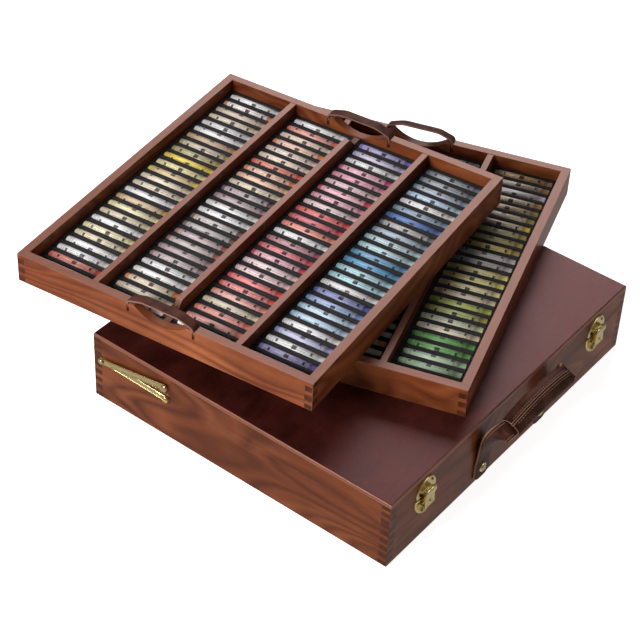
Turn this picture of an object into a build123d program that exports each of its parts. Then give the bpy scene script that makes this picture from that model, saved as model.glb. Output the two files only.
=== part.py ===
from build123d import *
import os
from math import cos, radians, sin

# Pastel box: a wooden carrying case with two lift-out trays of pastel sticks.
# Millimetres. The origin is the centre of the case's underside; +X runs along the
# case's front, -Y is the front with the latches and the carrying handle, +Z is up.

# ---------------------------------------------------------------- driving sizes
case_width = 415.0
case_depth = 370.0
base_height = 56.0
lid_frame_height = 22.3
lid_panel_thickness = 4.0
bottom_panel_thickness = 5.0
case_wall = 10.0
seam_gap = 0.4
case_fingers_base = 11
case_fingers_lid = 5
panel_edge_round = 1.5

tray_end_clearance = 4.75
tray_side_clearance = 3.25
tray_height = 34.0
tray_wall = 9.0
tray_fingers = 6
tray_panel_thickness = 4.0
tray_panel_recess = 1.0
divider_thickness = 6.5
divider_top_drop = 0.5
tray_seat_gap = 0.1

upper_tray_x = -13.3
upper_tray_y = 120.5
upper_tray_turn = 6.74
lower_tray_x = 65.4
lower_tray_y = 53.3
lower_tray_turn = 17.7

stick_radius = 5.0
stick_length = 65.5
stick_chamfer = 0.9
stick_row_margin = 2.5
sticks_per_column = 25
columns_per_tray = 4
foam_top_drop = 14.0
stick_sink = 3.0
groove_clearance = 0.2
groove_end_clearance = 0.5
foam_side_clearance = 0.3

notch_width = 62.0
notch_depth = 12.0
scoop_length = 13.0
scoop_depth = 13.0

strap_span = 76.0
strap_width = 12.0
strap_foot_width = 8.0
strap_thickness = 2.2
strap_rise = 8.0
strap_flat = 42.0
strap_edge_clearance = 0.5
strap_lean_lower_front = -86.0
strap_lean_lower_back = 12.0
strap_slot_clearance = 0.4
strap_pin_radius = 1.25
strap_pin_clearance = 0.05
strap_pin_depth = 6.5
strap_pin_length = 14.0

hinge_pin_radius = 1.0
hinge_pin_clearance = 0.05
hinge_knuckle_radius = 2.6
hinge_knuckle_count = 20
hinge_knuckle_gap = 0.15
hinge_end_margin = 4.5
hinge_leaf_height = 13.0
hinge_leaf_thickness = 1.0
hinge_leaf_relief = 0.3
hinge_screw_count = 12
hinge_screw_drop = 7.8
hinge_screw_head_radius = 2.2
hinge_screw_head_height = 0.6
hinge_screw_shank_radius = 1.1
hinge_screw_shank_length = 7.0

screw_hole_clearance = 0.05

stay_elbow_inset = 12.0
stay_screw_inset = 96.0
stay_elbow_drop = 3.0
stay_base_screw_drop = 5.0
stay_lid_screw_rise = 11.0
stay_width = 8.0
stay_thickness = 1.5
stay_face_gap = 0.4
stay_layer_gap = 0.3
stay_screw_head_radius = 4.0
stay_screw_head_height = 1.8
stay_screw_shank_radius = 1.6
stay_screw_shank_length = 8.0
stay_pivot_clearance = 0.08
stay_rivet_radius = 3.0
stay_rivet_height = 1.0
stay_head_gap = 0.2
stay_collar_radius = 3.2

latch_end_distance = 56.5
latch_half_width = 17.0
latch_plate_thickness = 1.2
latch_plate_reach = 25.0
latch_plate_top_drop = 0.8
latch_plate_screw_x = 10.5
latch_plate_screw_drop = 5.5
latch_plate_low_screw_drop = 20.5
latch_cheek_spread = 8.6
latch_cheek_thickness = 1.2
latch_cheek_out = 6.0
latch_cheek_height = 9.0
latch_cheek_rise = 0.5
latch_cheek_round = 3.0
latch_pivot_drop = 12.0
latch_pivot_out = 4.0
latch_barrel_radius = 2.4
latch_pin_radius = 1.0
latch_pin_clearance = 0.05
latch_lever_half_width = 7.5
latch_lever_thickness = 1.4
latch_lever_rise = 11.0
latch_lever_round = 4.0
latch_hook_half_width = 8.0
latch_hook_rise = 1.5
latch_hook_thickness = 2.0
latch_catch_bottom_rise = 0.9
latch_catch_reach = 21.5
latch_catch_half_width = 15.0
latch_catch_screw_x = 9.5
latch_catch_screw_rise = 12.5
latch_ridge_half_width = 7.0
latch_ridge_rise = 4.0
latch_ridge_height = 4.0
latch_ridge_out = 3.0
latch_ridge_round = 1.2
latch_ridge_gap = 0.4
latch_screw_head_radius = 1.8
latch_screw_head_height = 0.7
latch_screw_shank_radius = 1.0
latch_screw_shank_length = 6.0

handle_reach_x = 52.0
handle_strap_width = 26.0
handle_strap_thickness = 2.5
handle_tab_bottom = 3.0
handle_tab_round = 8.0
handle_fold_z = 30.0
handle_fold_out = 1.9
handle_fold_gap = 0.35
handle_screw_z = 16.0
handle_grip_half_length = 50.0
handle_grip_out = 25.8
handle_grip_rise = 52.0
handle_grip_arch = 4.5
handle_grip_wide = 24.0
handle_grip_thick = 17.0
handle_grip_end_wide = 22.0
handle_grip_end_thick = 12.0
handle_grip_tilt = 20.0
handle_strap_end_width = 19.0
handle_strap_end_thickness = 5.0
handle_strap_stations = 9
handle_strap_pull_up = 32.2
handle_strap_lean = 4.0
handle_strap_swell = 16.0
handle_strap_tuck = 2.0
handle_washer_radius = 5.5
handle_washer_height = 1.6
handle_screw_head_radius = 3.2
handle_screw_head_height = 1.4
handle_screw_shank_radius = 2.0
handle_screw_shank_length = 12.0

# ---------------------------------------------------------------- places that follow
front_y = -case_depth / 2
back_y = case_depth / 2
lid_bottom = base_height + seam_gap / 2
base_top = base_height - seam_gap / 2
lid_frame_top = lid_bottom + lid_frame_height
lid_top = lid_frame_top + lid_panel_thickness
inner_width = case_width - 2 * case_wall
inner_depth = case_depth - 2 * case_wall
hinge_y = back_y + hinge_knuckle_radius
hinge_z = base_height
hinge_length = case_width - 2 * hinge_end_margin
stay_hinge_side_y = back_y - stay_elbow_inset
stay_screw_y = back_y - stay_screw_inset
stay_elbow_z = base_height - stay_elbow_drop
stay_base_screw_z = base_height - stay_base_screw_drop
stay_lid_screw_z = base_height + stay_lid_screw_rise
latch_x = case_width / 2 - latch_end_distance
latch_plate_bottom = base_height - latch_plate_reach
latch_pivot_z = base_height - latch_pivot_drop
latch_lever_top = base_height + latch_lever_rise
latch_hook_bottom = base_height + latch_hook_rise
latch_catch_top = base_height + latch_catch_reach
latch_ridge_bottom = base_height + latch_ridge_rise
handle_grip_z = handle_fold_z + handle_grip_rise
tray_length = inner_width - 2 * tray_end_clearance
tray_width = inner_depth - 2 * tray_side_clearance

OUT_FRONT = Rot(90, 0, 0)
OUT_BACK = Rot(-90, 0, 0)
OUT_LEFT = Rot(0, -90, 0)
OUT_RIGHT = Rot(0, 90, 0)

nodes = {}


def save(name, *solids):
    """Keep one named sub-part, made of one solid or of several like solids."""
    nodes[name] = list(solids)


# ---------------------------------------------------------------- jointed boxes
def jointed_wall(length, thickness, height, corner, fingers, keeps_first):
    """A wall along X, centred, with finger joints cut into both ends."""
    finger = height / fingers
    wall = Box(length, thickness, height, align=(Align.CENTER, Align.CENTER, Align.MIN))
    gaps = []
    for index in range(fingers):
        if (index % 2 == 0) == keeps_first:
            continue
        for side in (-1, 1):
            gap = Box(corner, thickness, finger, align=(Align.CENTER, Align.CENTER, Align.MIN))
            gaps.append(Pos(side * (length - corner) / 2, 0, index * finger) * gap)
    return wall - gaps


def box_walls(length, width, thickness, height, fingers, bottom):
    """Front, back, left and right walls of a finger-jointed box on the Z axis."""
    long_wall = jointed_wall(length, thickness, height, thickness, fingers, True)
    end_wall = jointed_wall(width, thickness, height, thickness, fingers, False)
    front = Pos(0, -(width - thickness) / 2, bottom) * long_wall
    back = Pos(0, (width - thickness) / 2, bottom) * long_wall
    left = Pos(-(length - thickness) / 2, 0, bottom) * Rot(0, 0, 90) * end_wall
    right = Pos((length - thickness) / 2, 0, bottom) * Rot(0, 0, 90) * end_wall
    return front, back, left, right


def screw(head_radius, head_height, shank_radius, shank_length):
    """A screw along Z: its domed head stands on the XY plane, its shank goes down."""
    head = Cylinder(head_radius, head_height, align=(Align.CENTER, Align.CENTER, Align.MIN))
    head = fillet(head.edges().group_by(Axis.Z)[-1], head_height * 0.45)
    shank = Cylinder(shank_radius, shank_length, align=(Align.CENTER, Align.CENTER, Align.MAX))
    return head + shank


def screw_hole(shank_radius, shank_length):
    """The pilot hole that a screw's shank fills, a little longer than the shank."""
    return Cylinder(shank_radius + screw_hole_clearance, shank_length + 1.0)


# ---------------------------------------------------------------- pattern places
hinge_screw_pitch = hinge_length / hinge_screw_count
hinge_screw_xs = [(i - (hinge_screw_count - 1) / 2) * hinge_screw_pitch
                  for i in range(hinge_screw_count)]

latch_centres = (-latch_x, latch_x)
latch_plate_screws = ((-latch_plate_screw_x, base_height - latch_plate_screw_drop),
                      (latch_plate_screw_x, base_height - latch_plate_screw_drop),
                      (0.0, base_height - latch_plate_low_screw_drop))
latch_catch_screws = ((-latch_catch_screw_x, base_height + latch_catch_screw_rise),
                      (latch_catch_screw_x, base_height + latch_catch_screw_rise))
handle_centres = (-handle_reach_x, handle_reach_x)

# ---------------------------------------------------------------- case base
base_front, base_back, base_left, base_right = box_walls(
    case_width, case_depth, case_wall, base_top, case_fingers_base, 0)

front_holes = []
for centre in latch_centres:
    for x, z in latch_plate_screws:
        hole = screw_hole(latch_screw_shank_radius, latch_screw_shank_length * 2)
        front_holes.append(Pos(centre + x, front_y, z) * OUT_FRONT * hole)
for centre in handle_centres:
    hole = screw_hole(handle_screw_shank_radius, case_wall * 1.6)
    front_holes.append(Pos(centre, front_y, handle_screw_z) * OUT_FRONT * hole)
base_front = base_front - front_holes

hinge_holes = []
for x in hinge_screw_xs:
    hole = screw_hole(hinge_screw_shank_radius, hinge_screw_shank_length * 2)
    hinge_holes.append(Pos(x, back_y, 0) * OUT_BACK * hole)
base_back = base_back - [Pos(0, 0, hinge_z - hinge_screw_drop) * hole for hole in hinge_holes]

stay_hole = screw_hole(stay_screw_shank_radius, stay_screw_shank_length * 2)
base_left = base_left - Pos(-case_width / 2, stay_screw_y, stay_base_screw_z) * OUT_LEFT * stay_hole
base_right = base_right - Pos(case_width / 2, stay_screw_y, stay_base_screw_z) * OUT_RIGHT * stay_hole

base_bottom = Box(inner_width, inner_depth, bottom_panel_thickness,
                  align=(Align.CENTER, Align.CENTER, Align.MIN))

save("base_front_wall", base_front)
save("base_back_wall", base_back)
save("base_left_wall", base_left)
save("base_right_wall", base_right)
save("base_bottom_panel", base_bottom)

# ---------------------------------------------------------------- lid
lid_front, lid_back, lid_left, lid_right = box_walls(
    case_width, case_depth, case_wall, lid_frame_height, case_fingers_lid, lid_bottom)

catch_holes = []
for centre in latch_centres:
    for x, z in latch_catch_screws:
        hole = screw_hole(latch_screw_shank_radius, latch_screw_shank_length * 2)
        catch_holes.append(Pos(centre + x, front_y, z) * OUT_FRONT * hole)
lid_front = lid_front - catch_holes
lid_back = lid_back - [Pos(0, 0, hinge_z + hinge_screw_drop) * hole for hole in hinge_holes]
lid_left = lid_left - Pos(-case_width / 2, stay_screw_y, stay_lid_screw_z) * OUT_LEFT * stay_hole
lid_right = lid_right - Pos(case_width / 2, stay_screw_y, stay_lid_screw_z) * OUT_RIGHT * stay_hole

lid_panel = Box(case_width, case_depth, lid_panel_thickness,
                align=(Align.CENTER, Align.CENTER, Align.MIN))
lid_panel = fillet(lid_panel.edges().group_by(Axis.Z)[-1], panel_edge_round)
lid_panel = Pos(0, 0, lid_frame_top) * lid_panel

save("lid_front_wall", lid_front)
save("lid_back_wall", lid_back)
save("lid_left_wall", lid_left)
save("lid_right_wall", lid_right)
save("lid_top_panel", lid_panel)

# ---------------------------------------------------------------- continuous hinge
knuckle_pitch = hinge_length / hinge_knuckle_count


def knuckles(parity, radius, gap):
    """Every second knuckle of the hinge, as cylinders on its axis."""
    pieces = []
    for index in range(parity, hinge_knuckle_count, 2):
        x = (index - (hinge_knuckle_count - 1) / 2) * knuckle_pitch
        barrel = Cylinder(radius, knuckle_pitch - gap)
        pieces.append(Pos(x, hinge_y, hinge_z) * Rot(0, 90, 0) * barrel)
    return pieces


def hinge_leaf(parity, side):
    """One leaf on the case's back face, side -1 below the seam and +1 above it."""
    plate = Box(hinge_length, hinge_leaf_thickness, hinge_leaf_height,
                align=(Align.CENTER, Align.MIN, Align.CENTER))
    middle = hinge_z + side * (seam_gap / 2 + hinge_leaf_height / 2)
    plate = Pos(0, back_y, middle) * plate
    relief = knuckles(1 - parity, hinge_knuckle_radius + hinge_leaf_relief, -hinge_knuckle_gap)
    leaf = plate - relief
    leaf = leaf + knuckles(parity, hinge_knuckle_radius, hinge_knuckle_gap)
    pin_bore = Cylinder(hinge_pin_radius + hinge_pin_clearance, hinge_length + 2)
    leaf = leaf - Pos(0, hinge_y, hinge_z) * Rot(0, 90, 0) * pin_bore
    holes = [Pos(0, 0, hinge_z + side * hinge_screw_drop) * hole for hole in hinge_holes]
    return leaf - holes


def hinge_screw_row(side):
    """The row of screws that fixes one leaf."""
    row = []
    one = screw(hinge_screw_head_radius, hinge_screw_head_height,
                hinge_screw_shank_radius, hinge_screw_shank_length)
    face = back_y + hinge_leaf_thickness
    for x in hinge_screw_xs:
        row.append(Pos(x, face, hinge_z + side * hinge_screw_drop) * OUT_BACK * one)
    return row


hinge_pin = Pos(0, hinge_y, hinge_z) * Rot(0, 90, 0) * Cylinder(hinge_pin_radius, hinge_length)
save("hinge_base_leaf", hinge_leaf(0, -1))
save("hinge_lid_leaf", hinge_leaf(1, 1))
save("hinge_pin", hinge_pin)
save("hinge_base_screws", *hinge_screw_row(-1))
save("hinge_lid_screws", *hinge_screw_row(1))

# ---------------------------------------------------------------- folding lid stays
inner_layer = stay_face_gap
outer_layer = stay_face_gap + stay_thickness + stay_layer_gap


def stay_arm(screw_z, layer, thickness):
    """A flat round-ended arm in the YZ plane from its screw to the elbow, on +X."""
    dy = stay_hinge_side_y - stay_screw_y
    dz = stay_elbow_z - screw_z
    reach = (dy ** 2 + dz ** 2) ** 0.5
    arm = SlotCenterToCenter(reach, stay_width)
    eye = Circle(stay_screw_shank_radius + stay_pivot_clearance)
    arm = arm - Pos(-reach / 2, 0) * eye
    arm = extrude(arm, thickness)
    frame = Plane(origin=(0, (stay_hinge_side_y + stay_screw_y) / 2, (stay_elbow_z + screw_z) / 2),
                  x_dir=(0, dy / reach, dz / reach), z_dir=(1, 0, 0))
    return Pos(case_width / 2 + layer, 0, 0) * (frame * arm)


def stay_screw(screw_z, head_out, collar):
    """The pivot screw of an arm on +X, with a spacing collar where the arm stands off."""
    one = screw(stay_screw_head_radius, stay_screw_head_height,
                stay_screw_shank_radius, stay_screw_shank_length + head_out)
    place = Pos(case_width / 2 + head_out, stay_screw_y, screw_z)
    one = place * OUT_RIGHT * one
    if collar > 0:
        ring = Cylinder(stay_collar_radius, collar,
                        align=(Align.CENTER, Align.CENTER, Align.MIN))
        one = one + Pos(case_width / 2, stay_screw_y, screw_z) * OUT_RIGHT * ring
    return one


def stay_rivet():
    """The domed rivet at the elbow, through the outer arm only."""
    shank = Cylinder(stay_screw_shank_radius, stay_thickness,
                     align=(Align.CENTER, Align.CENTER, Align.MIN))
    dome = Cylinder(stay_rivet_radius, stay_rivet_height,
                    align=(Align.CENTER, Align.CENTER, Align.MIN))
    dome = fillet(dome.edges().group_by(Axis.Z)[-1], stay_rivet_height * 0.45)
    rivet = shank + Pos(0, 0, stay_thickness) * dome
    return Pos(case_width / 2 + outer_layer, stay_hinge_side_y, stay_elbow_z) * OUT_RIGHT * rivet


lower_arm = stay_arm(stay_base_screw_z, inner_layer, stay_thickness)
upper_arm = stay_arm(stay_lid_screw_z, outer_layer, stay_thickness)
rivet_seat = Cylinder(stay_screw_shank_radius, stay_thickness * 4)
upper_arm = upper_arm - (Pos(case_width / 2 + outer_layer, stay_hinge_side_y, stay_elbow_z)
                         * OUT_RIGHT * rivet_seat)
base_pivot = stay_screw(stay_base_screw_z, inner_layer + stay_thickness + stay_head_gap, 0)
lid_pivot = stay_screw(stay_lid_screw_z, outer_layer + stay_thickness + stay_head_gap,
                       outer_layer - stay_head_gap)
elbow = stay_rivet()


def mirrored(solid):
    """The same piece on the case's other end."""
    return mirror(solid, about=Plane.YZ)


save("stay_lower_arm_right", lower_arm)
save("stay_upper_arm_right", upper_arm)
save("stay_rivet_right", elbow)
save("stay_lower_arm_left", mirrored(lower_arm))
save("stay_upper_arm_left", mirrored(upper_arm))
save("stay_rivet_left", mirrored(elbow))
save("stay_base_screws", base_pivot, mirrored(base_pivot))
save("stay_lid_screws", lid_pivot, mirrored(lid_pivot))

# ---------------------------------------------------------------- draw latches
latch_plate_top = base_top - latch_plate_top_drop


def on_front(solid, out=0.0):
    """Stand a piece drawn in XY, thickness along Z, on the case's front face."""
    return Pos(0, front_y - out, 0) * OUT_FRONT * solid


def shield(half_width, straight_z, tip_z, bulge):
    """A shield outline with one straight edge and a rounded far end."""
    bulge_z = straight_z + (tip_z - straight_z) * bulge
    right = ThreePointArc((half_width, straight_z), (half_width * 0.84, bulge_z), (0, tip_z))
    left = ThreePointArc((0, tip_z), (-half_width * 0.84, bulge_z), (-half_width, straight_z))
    return make_face([Line((-half_width, straight_z), (half_width, straight_z)), right, left])


def latch_plate():
    """The base plate with two cheeks that hold the lever's pin."""
    outline = shield(latch_half_width, latch_plate_top, latch_plate_bottom, 0.56)
    plate = on_front(extrude(outline, latch_plate_thickness))
    for side in (-1, 1):
        cheek = Box(latch_cheek_thickness, latch_cheek_out, latch_cheek_height,
                    align=(Align.CENTER, Align.MAX, Align.CENTER))
        cheek = fillet(cheek.edges().filter_by(Axis.X).group_by(Axis.Y)[0], latch_cheek_round)
        place = Pos(side * latch_cheek_spread, front_y, latch_pivot_z + latch_cheek_rise)
        plate = plate + place * cheek
    axis = Pos(0, front_y - latch_pivot_out, latch_pivot_z) * Rot(0, 90, 0)
    plate = plate - axis * Cylinder(latch_pin_radius, latch_half_width * 2)
    holes = [Pos(x, front_y, z) * OUT_FRONT * screw_hole(latch_screw_shank_radius, 6.0)
             for x, z in latch_plate_screws]
    return plate - holes


def latch_lever():
    """The lever: a pressed strip that turns on its barrel and covers the catch."""
    inner = latch_plate_thickness + latch_ridge_out + latch_ridge_gap
    strip = Box(latch_lever_half_width * 2, latch_lever_thickness, latch_lever_top - latch_pivot_z,
                align=(Align.CENTER, Align.MAX, Align.MIN))
    strip = fillet(strip.edges().filter_by(Axis.Y).group_by(Axis.Z)[-1], latch_lever_round)
    strip = Pos(0, front_y - inner, latch_pivot_z) * strip
    axis = Pos(0, front_y - latch_pivot_out, latch_pivot_z) * Rot(0, 90, 0)
    barrel = axis * Cylinder(latch_barrel_radius, latch_lever_half_width * 2)
    bore = axis * Cylinder(latch_pin_radius + latch_pin_clearance, latch_half_width * 2)
    return strip + barrel - bore, inner + latch_lever_thickness


def latch_hook(out):
    """The raised hook plate that is fixed on the lever's top end."""
    height = latch_lever_top - latch_hook_bottom
    hook = Box(latch_hook_half_width * 2, latch_hook_thickness, height,
               align=(Align.CENTER, Align.MAX, Align.MIN))
    hook = fillet(hook.edges().filter_by(Axis.X).group_by(Axis.Y)[0], latch_hook_thickness * 0.6)
    return Pos(0, front_y - out, latch_hook_bottom) * hook


def latch_catch():
    """The lid's plate with the ridge that the lever closes over."""
    bottom = lid_bottom + latch_catch_bottom_rise
    outline = shield(latch_catch_half_width, bottom, latch_catch_top, 0.62)
    plate = on_front(extrude(outline, latch_plate_thickness))
    ridge = Box(latch_ridge_half_width * 2, latch_ridge_out, latch_ridge_height,
                align=(Align.CENTER, Align.MAX, Align.MIN))
    ridge = fillet(ridge.edges().filter_by(Axis.X).group_by(Axis.Y)[0], latch_ridge_round)
    plate = plate + Pos(0, front_y - latch_plate_thickness, latch_ridge_bottom) * ridge
    holes = [Pos(x, front_y, z) * OUT_FRONT * screw_hole(latch_screw_shank_radius, 6.0)
             for x, z in latch_catch_screws]
    return plate - holes


lever, lever_face = latch_lever()
hook = latch_hook(lever_face)
latch_pin = (Pos(0, front_y - latch_pivot_out, latch_pivot_z) * Rot(0, 90, 0)
             * Cylinder(latch_pin_radius, (latch_cheek_spread + latch_cheek_thickness) * 2))
small_screw = screw(latch_screw_head_radius, latch_screw_head_height,
                    latch_screw_shank_radius, latch_screw_shank_length)


def latch_screw_set(places):
    """Small screws through a latch plate or a catch, for both latches."""
    out = []
    for centre in latch_centres:
        for x, z in places:
            out.append(on_front(Pos(centre + x, z, 0) * small_screw, latch_plate_thickness))
    return out


save("latch_plates", *[Pos(x, 0, 0) * latch_plate() for x in latch_centres])
save("latch_pins", *[Pos(x, 0, 0) * latch_pin for x in latch_centres])
save("latch_lever_left", Pos(-latch_x, 0, 0) * lever)
save("latch_lever_right", Pos(latch_x, 0, 0) * lever)
save("latch_hook_left", Pos(-latch_x, 0, 0) * hook)
save("latch_hook_right", Pos(latch_x, 0, 0) * hook)
save("latch_catches", *[Pos(x, 0, 0) * latch_catch() for x in latch_centres])
save("latch_plate_screws", *latch_screw_set(latch_plate_screws))
save("latch_catch_screws", *latch_screw_set(latch_catch_screws))

# ---------------------------------------------------------------- carrying handle
tilt = radians(handle_grip_tilt)
grip_wide_dir = Vector(0, -cos(tilt), -sin(tilt))
grip_thick_dir = Vector(0, -sin(tilt), cos(tilt))


def grip_section(x, wide, thick):
    """One oval cross-section of the arched grip."""
    rise = handle_grip_arch * (1 - (x / handle_grip_half_length) ** 2)
    centre = Vector(x, front_y - handle_grip_out, handle_grip_z + rise)
    return Plane(origin=centre, x_dir=grip_wide_dir, z_dir=(1, 0, 0)) * Ellipse(wide / 2, thick / 2)


def handle_grip():
    """The rolled leather grip, thickest in the middle."""
    sections = []
    for share in (-1.0, -0.5, 0.0, 0.5, 1.0):
        wide = handle_grip_wide - (handle_grip_wide - handle_grip_end_wide) * share ** 2
        thick = handle_grip_thick - (handle_grip_thick - handle_grip_end_thick) * share ** 2
        sections.append(grip_section(share * handle_grip_half_length, wide, thick))
    return loft(sections)


def strap_stations():
    """Centre, along, width and thickness of the left strap from its fold to the grip."""
    start = Vector(-handle_reach_x, front_y - handle_fold_out, handle_fold_z)
    end = Vector(-handle_grip_half_length, front_y - handle_grip_out, handle_grip_z)
    pull_up = start + Vector(0, -handle_strap_lean, handle_strap_pull_up)
    pull_side = end + Vector(-handle_strap_swell, handle_strap_tuck, -handle_strap_tuck)
    stations = []
    for index in range(handle_strap_stations):
        t = index / (handle_strap_stations - 1)
        a, b, c, d = (1 - t) ** 3, 3 * t * (1 - t) ** 2, 3 * t * t * (1 - t), t ** 3
        centre = start * a + pull_up * b + pull_side * c + end * d
        along = ((pull_up - start) * (1 - t) ** 2 + (pull_side - pull_up) * (2 * t * (1 - t))
                 + (end - pull_side) * t * t).normalized()
        turn = t * t * (3 - 2 * t)
        wide = Vector(1, 0, 0) * (1 - turn) + grip_wide_dir * turn
        wide = (wide - along * wide.dot(along)).normalized()
        width = handle_strap_width + (handle_strap_end_width - handle_strap_width) * turn
        thick = handle_strap_thickness + (handle_strap_end_thickness - handle_strap_thickness) * turn
        stations.append((centre, along, wide, width, thick))
    return stations


def handle_strap():
    """The left strap of the handle, lofted flat from its fold up into the grip."""
    sections = []
    for centre, along, wide, width, thick in strap_stations():
        normal = along.cross(wide)
        corners = [centre + wide * (sx * width / 2) + normal * (sy * thick / 2)
                   for sx, sy in ((-1, -1), (1, -1), (1, 1), (-1, 1))]
        sections.append(Wire.make_polygon(corners, close=True))
    strap = Solid.make_loft(sections, ruled=True)
    roll = Pos(-handle_reach_x, front_y - handle_fold_out, handle_fold_z) * Rot(0, 90, 0)
    return strap + roll * Cylinder(handle_strap_thickness / 2, handle_strap_width)


def handle_tab(x):
    """A strap end that lies flat on the front face under its screw."""
    top = handle_fold_z - handle_strap_thickness / 2 - handle_fold_gap
    tab = Box(handle_strap_width, handle_strap_thickness, top - handle_tab_bottom,
              align=(Align.CENTER, Align.MAX, Align.MIN))
    tab = fillet(tab.edges().filter_by(Axis.Y).group_by(Axis.Z)[0], handle_tab_round)
    tab = Pos(x, front_y, handle_tab_bottom) * tab
    hole = screw_hole(handle_screw_shank_radius, handle_strap_thickness * 4)
    return tab - Pos(x, front_y, handle_screw_z) * OUT_FRONT * hole


def handle_fixing(x):
    """A cup washer and the round-headed screw in it."""
    washer = Cylinder(handle_washer_radius, handle_washer_height,
                      align=(Align.CENTER, Align.CENTER, Align.MIN))
    washer = fillet(washer.edges().group_by(Axis.Z)[-1], handle_washer_height * 0.6)
    washer = washer - screw_hole(handle_screw_shank_radius, handle_washer_height * 4)
    washer = on_front(Pos(x, handle_screw_z, 0) * washer, handle_strap_thickness)
    one = screw(handle_screw_head_radius, handle_screw_head_height,
                handle_screw_shank_radius, handle_screw_shank_length)
    head_out = handle_strap_thickness + handle_washer_height
    return washer, on_front(Pos(x, handle_screw_z, 0) * one, head_out)


grip = handle_grip()
strap_left = handle_strap() - grip
save("handle_grip", grip)
save("handle_straps", strap_left, mirrored(strap_left))
save("handle_tabs", *[handle_tab(x) for x in handle_centres])
save("handle_screws", *[piece for x in handle_centres for piece in handle_fixing(x)])

# ---------------------------------------------------------------- trays
inner_length = tray_length - 2 * tray_wall
inner_tray_width = tray_width - 2 * tray_wall
column_width = ((inner_tray_width - (columns_per_tray - 1) * divider_thickness)
                / columns_per_tray)
tray_floor = tray_panel_recess + tray_panel_thickness
foam_top = tray_height - foam_top_drop
stick_axis_z = foam_top - stick_sink
stick_pitch = (inner_length - 2 * stick_row_margin) / sticks_per_column
pin_x = (tray_length - tray_wall) / 2
pin_z = tray_height - strap_pin_depth
strap_foot_y = strap_span / 2
strap_shoulder = tray_wall / 2 + strap_edge_clearance
strap_knee = ((tray_wall / 2) ** 2 + strap_pin_depth ** 2) ** 0.5 + strap_edge_clearance


def column_y(index):
    """Middle of a column of sticks, counted from the tray's +Y side."""
    step = column_width + divider_thickness
    return (columns_per_tray - 1) / 2 * step - index * step


def end_wall_with_notch(side):
    """A tray's end wall with the finger scoop and the two slots for the strap."""
    wall = jointed_wall(tray_width, tray_wall, tray_height, tray_wall, tray_fingers, False)
    wall = Pos(side * pin_x, 0, 0) * Rot(0, 0, 90) * wall
    scoop_radius = ((notch_width / 2) ** 2 + notch_depth ** 2) / (2 * notch_depth)
    scoop = Cylinder(scoop_radius, tray_wall * 2)
    scoop = Pos(side * pin_x, 0, tray_height - notch_depth + scoop_radius) * Rot(0, 90, 0) * scoop
    cuts = [scoop]
    slot_width = strap_thickness + 2 * strap_slot_clearance
    slot_depth = strap_pin_depth + strap_foot_width / 2 + strap_slot_clearance
    for way in (-1, 1):
        slot = Box(tray_wall * 2, slot_width, slot_depth,
                   align=(Align.CENTER, Align.CENTER, Align.MAX))
        cuts.append(Pos(side * pin_x, way * strap_foot_y, tray_height) * slot)
        hole = Cylinder(strap_pin_radius, strap_pin_length)
        cuts.append(Pos(side * pin_x, way * strap_foot_y, pin_z) * Rot(90, 0, 0) * hole)
    return wall - cuts


def divider(index):
    """One divider; the middle one is scooped at both ends below the straps."""
    y = column_y(index) - (column_width + divider_thickness) / 2
    top = tray_height - divider_top_drop
    board = Box(inner_length, divider_thickness, top - tray_floor,
                align=(Align.CENTER, Align.CENTER, Align.MIN))
    board = Pos(0, y, tray_floor) * board
    if index != columns_per_tray // 2 - 1:
        return board
    low = tray_height - scoop_depth
    for side in (-1, 1):
        end = side * inner_length / 2
        points = [(end + side, low), (end - side * scoop_length, low),
                  (end - side * (scoop_length + scoop_depth), tray_height + 1),
                  (end + side, tray_height + 1)]
        outline = make_face(Polyline(*points, close=True))
        cut = extrude(Plane.XZ * outline, divider_thickness, both=True)
        board = board - Pos(0, y, 0) * cut
    return board


def foam(index):
    """A foam bed with one groove for each stick of a column."""
    width = column_width - 2 * foam_side_clearance
    length = inner_length - 2 * foam_side_clearance
    bed = Box(length, width, foam_top - tray_floor, align=(Align.CENTER, Align.CENTER, Align.MIN))
    bed = Pos(0, 0, tray_floor) * bed
    groove_radius = stick_radius + groove_clearance
    groove_length = stick_length + 2 * groove_end_clearance
    groove = Rot(90, 0, 0) * Cylinder(groove_radius, groove_length)
    groove = groove + Box(groove_radius * 2, groove_length, stick_sink + stick_radius,
                          align=(Align.CENTER, Align.CENTER, Align.MIN))
    grooves = [Pos(x, 0, stick_axis_z) * groove for x in stick_xs]
    return Pos(0, column_y(index), 0) * (bed - grooves)


stick_xs = [(i - (sticks_per_column - 1) / 2) * stick_pitch for i in range(sticks_per_column)]
stick = Rot(90, 0, 0) * Cylinder(stick_radius, stick_length)
stick = chamfer(stick.edges(), stick_chamfer)


def strap_band():
    """Side view of a strap in (y, height above the pins): legs, slopes and flat top."""
    top = strap_pin_depth + strap_rise
    knee = strap_knee
    half = strap_foot_y
    flat = strap_flat / 2
    t = strap_thickness / 2
    outer = [(-half - t, 0), (-half - t, knee + t), (-flat, top + t), (flat, top + t),
             (half + t, knee + t), (half + t, 0)]
    inner = [(half - t, 0), (half - t, knee), (flat, top - t), (-flat, top - t),
             (-half + t, knee), (-half + t, 0)]
    return make_face(Polyline(*outer, *inner, close=True))


def tray_strap(side, lean):
    """A strap turned about its pins by its lean, positive outward."""
    band = extrude(Plane.YZ * strap_band(), strap_width / 2, both=True)
    room = Box(strap_width * 2, strap_span * 2, strap_shoulder * 2)
    keep = Box(strap_foot_width, strap_span * 2, strap_shoulder * 2)
    band = band - (room - keep)
    for way in (-1, 1):
        foot = Pos(0, way * strap_foot_y, 0) * Rot(90, 0, 0)
        band = band + foot * Cylinder(strap_foot_width / 2, strap_thickness)
        band = band - foot * Cylinder(strap_pin_radius + strap_pin_clearance, strap_thickness * 3)
    return Pos(side * pin_x, 0, pin_z) * Rot(0, side * lean, 0) * band


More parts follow.
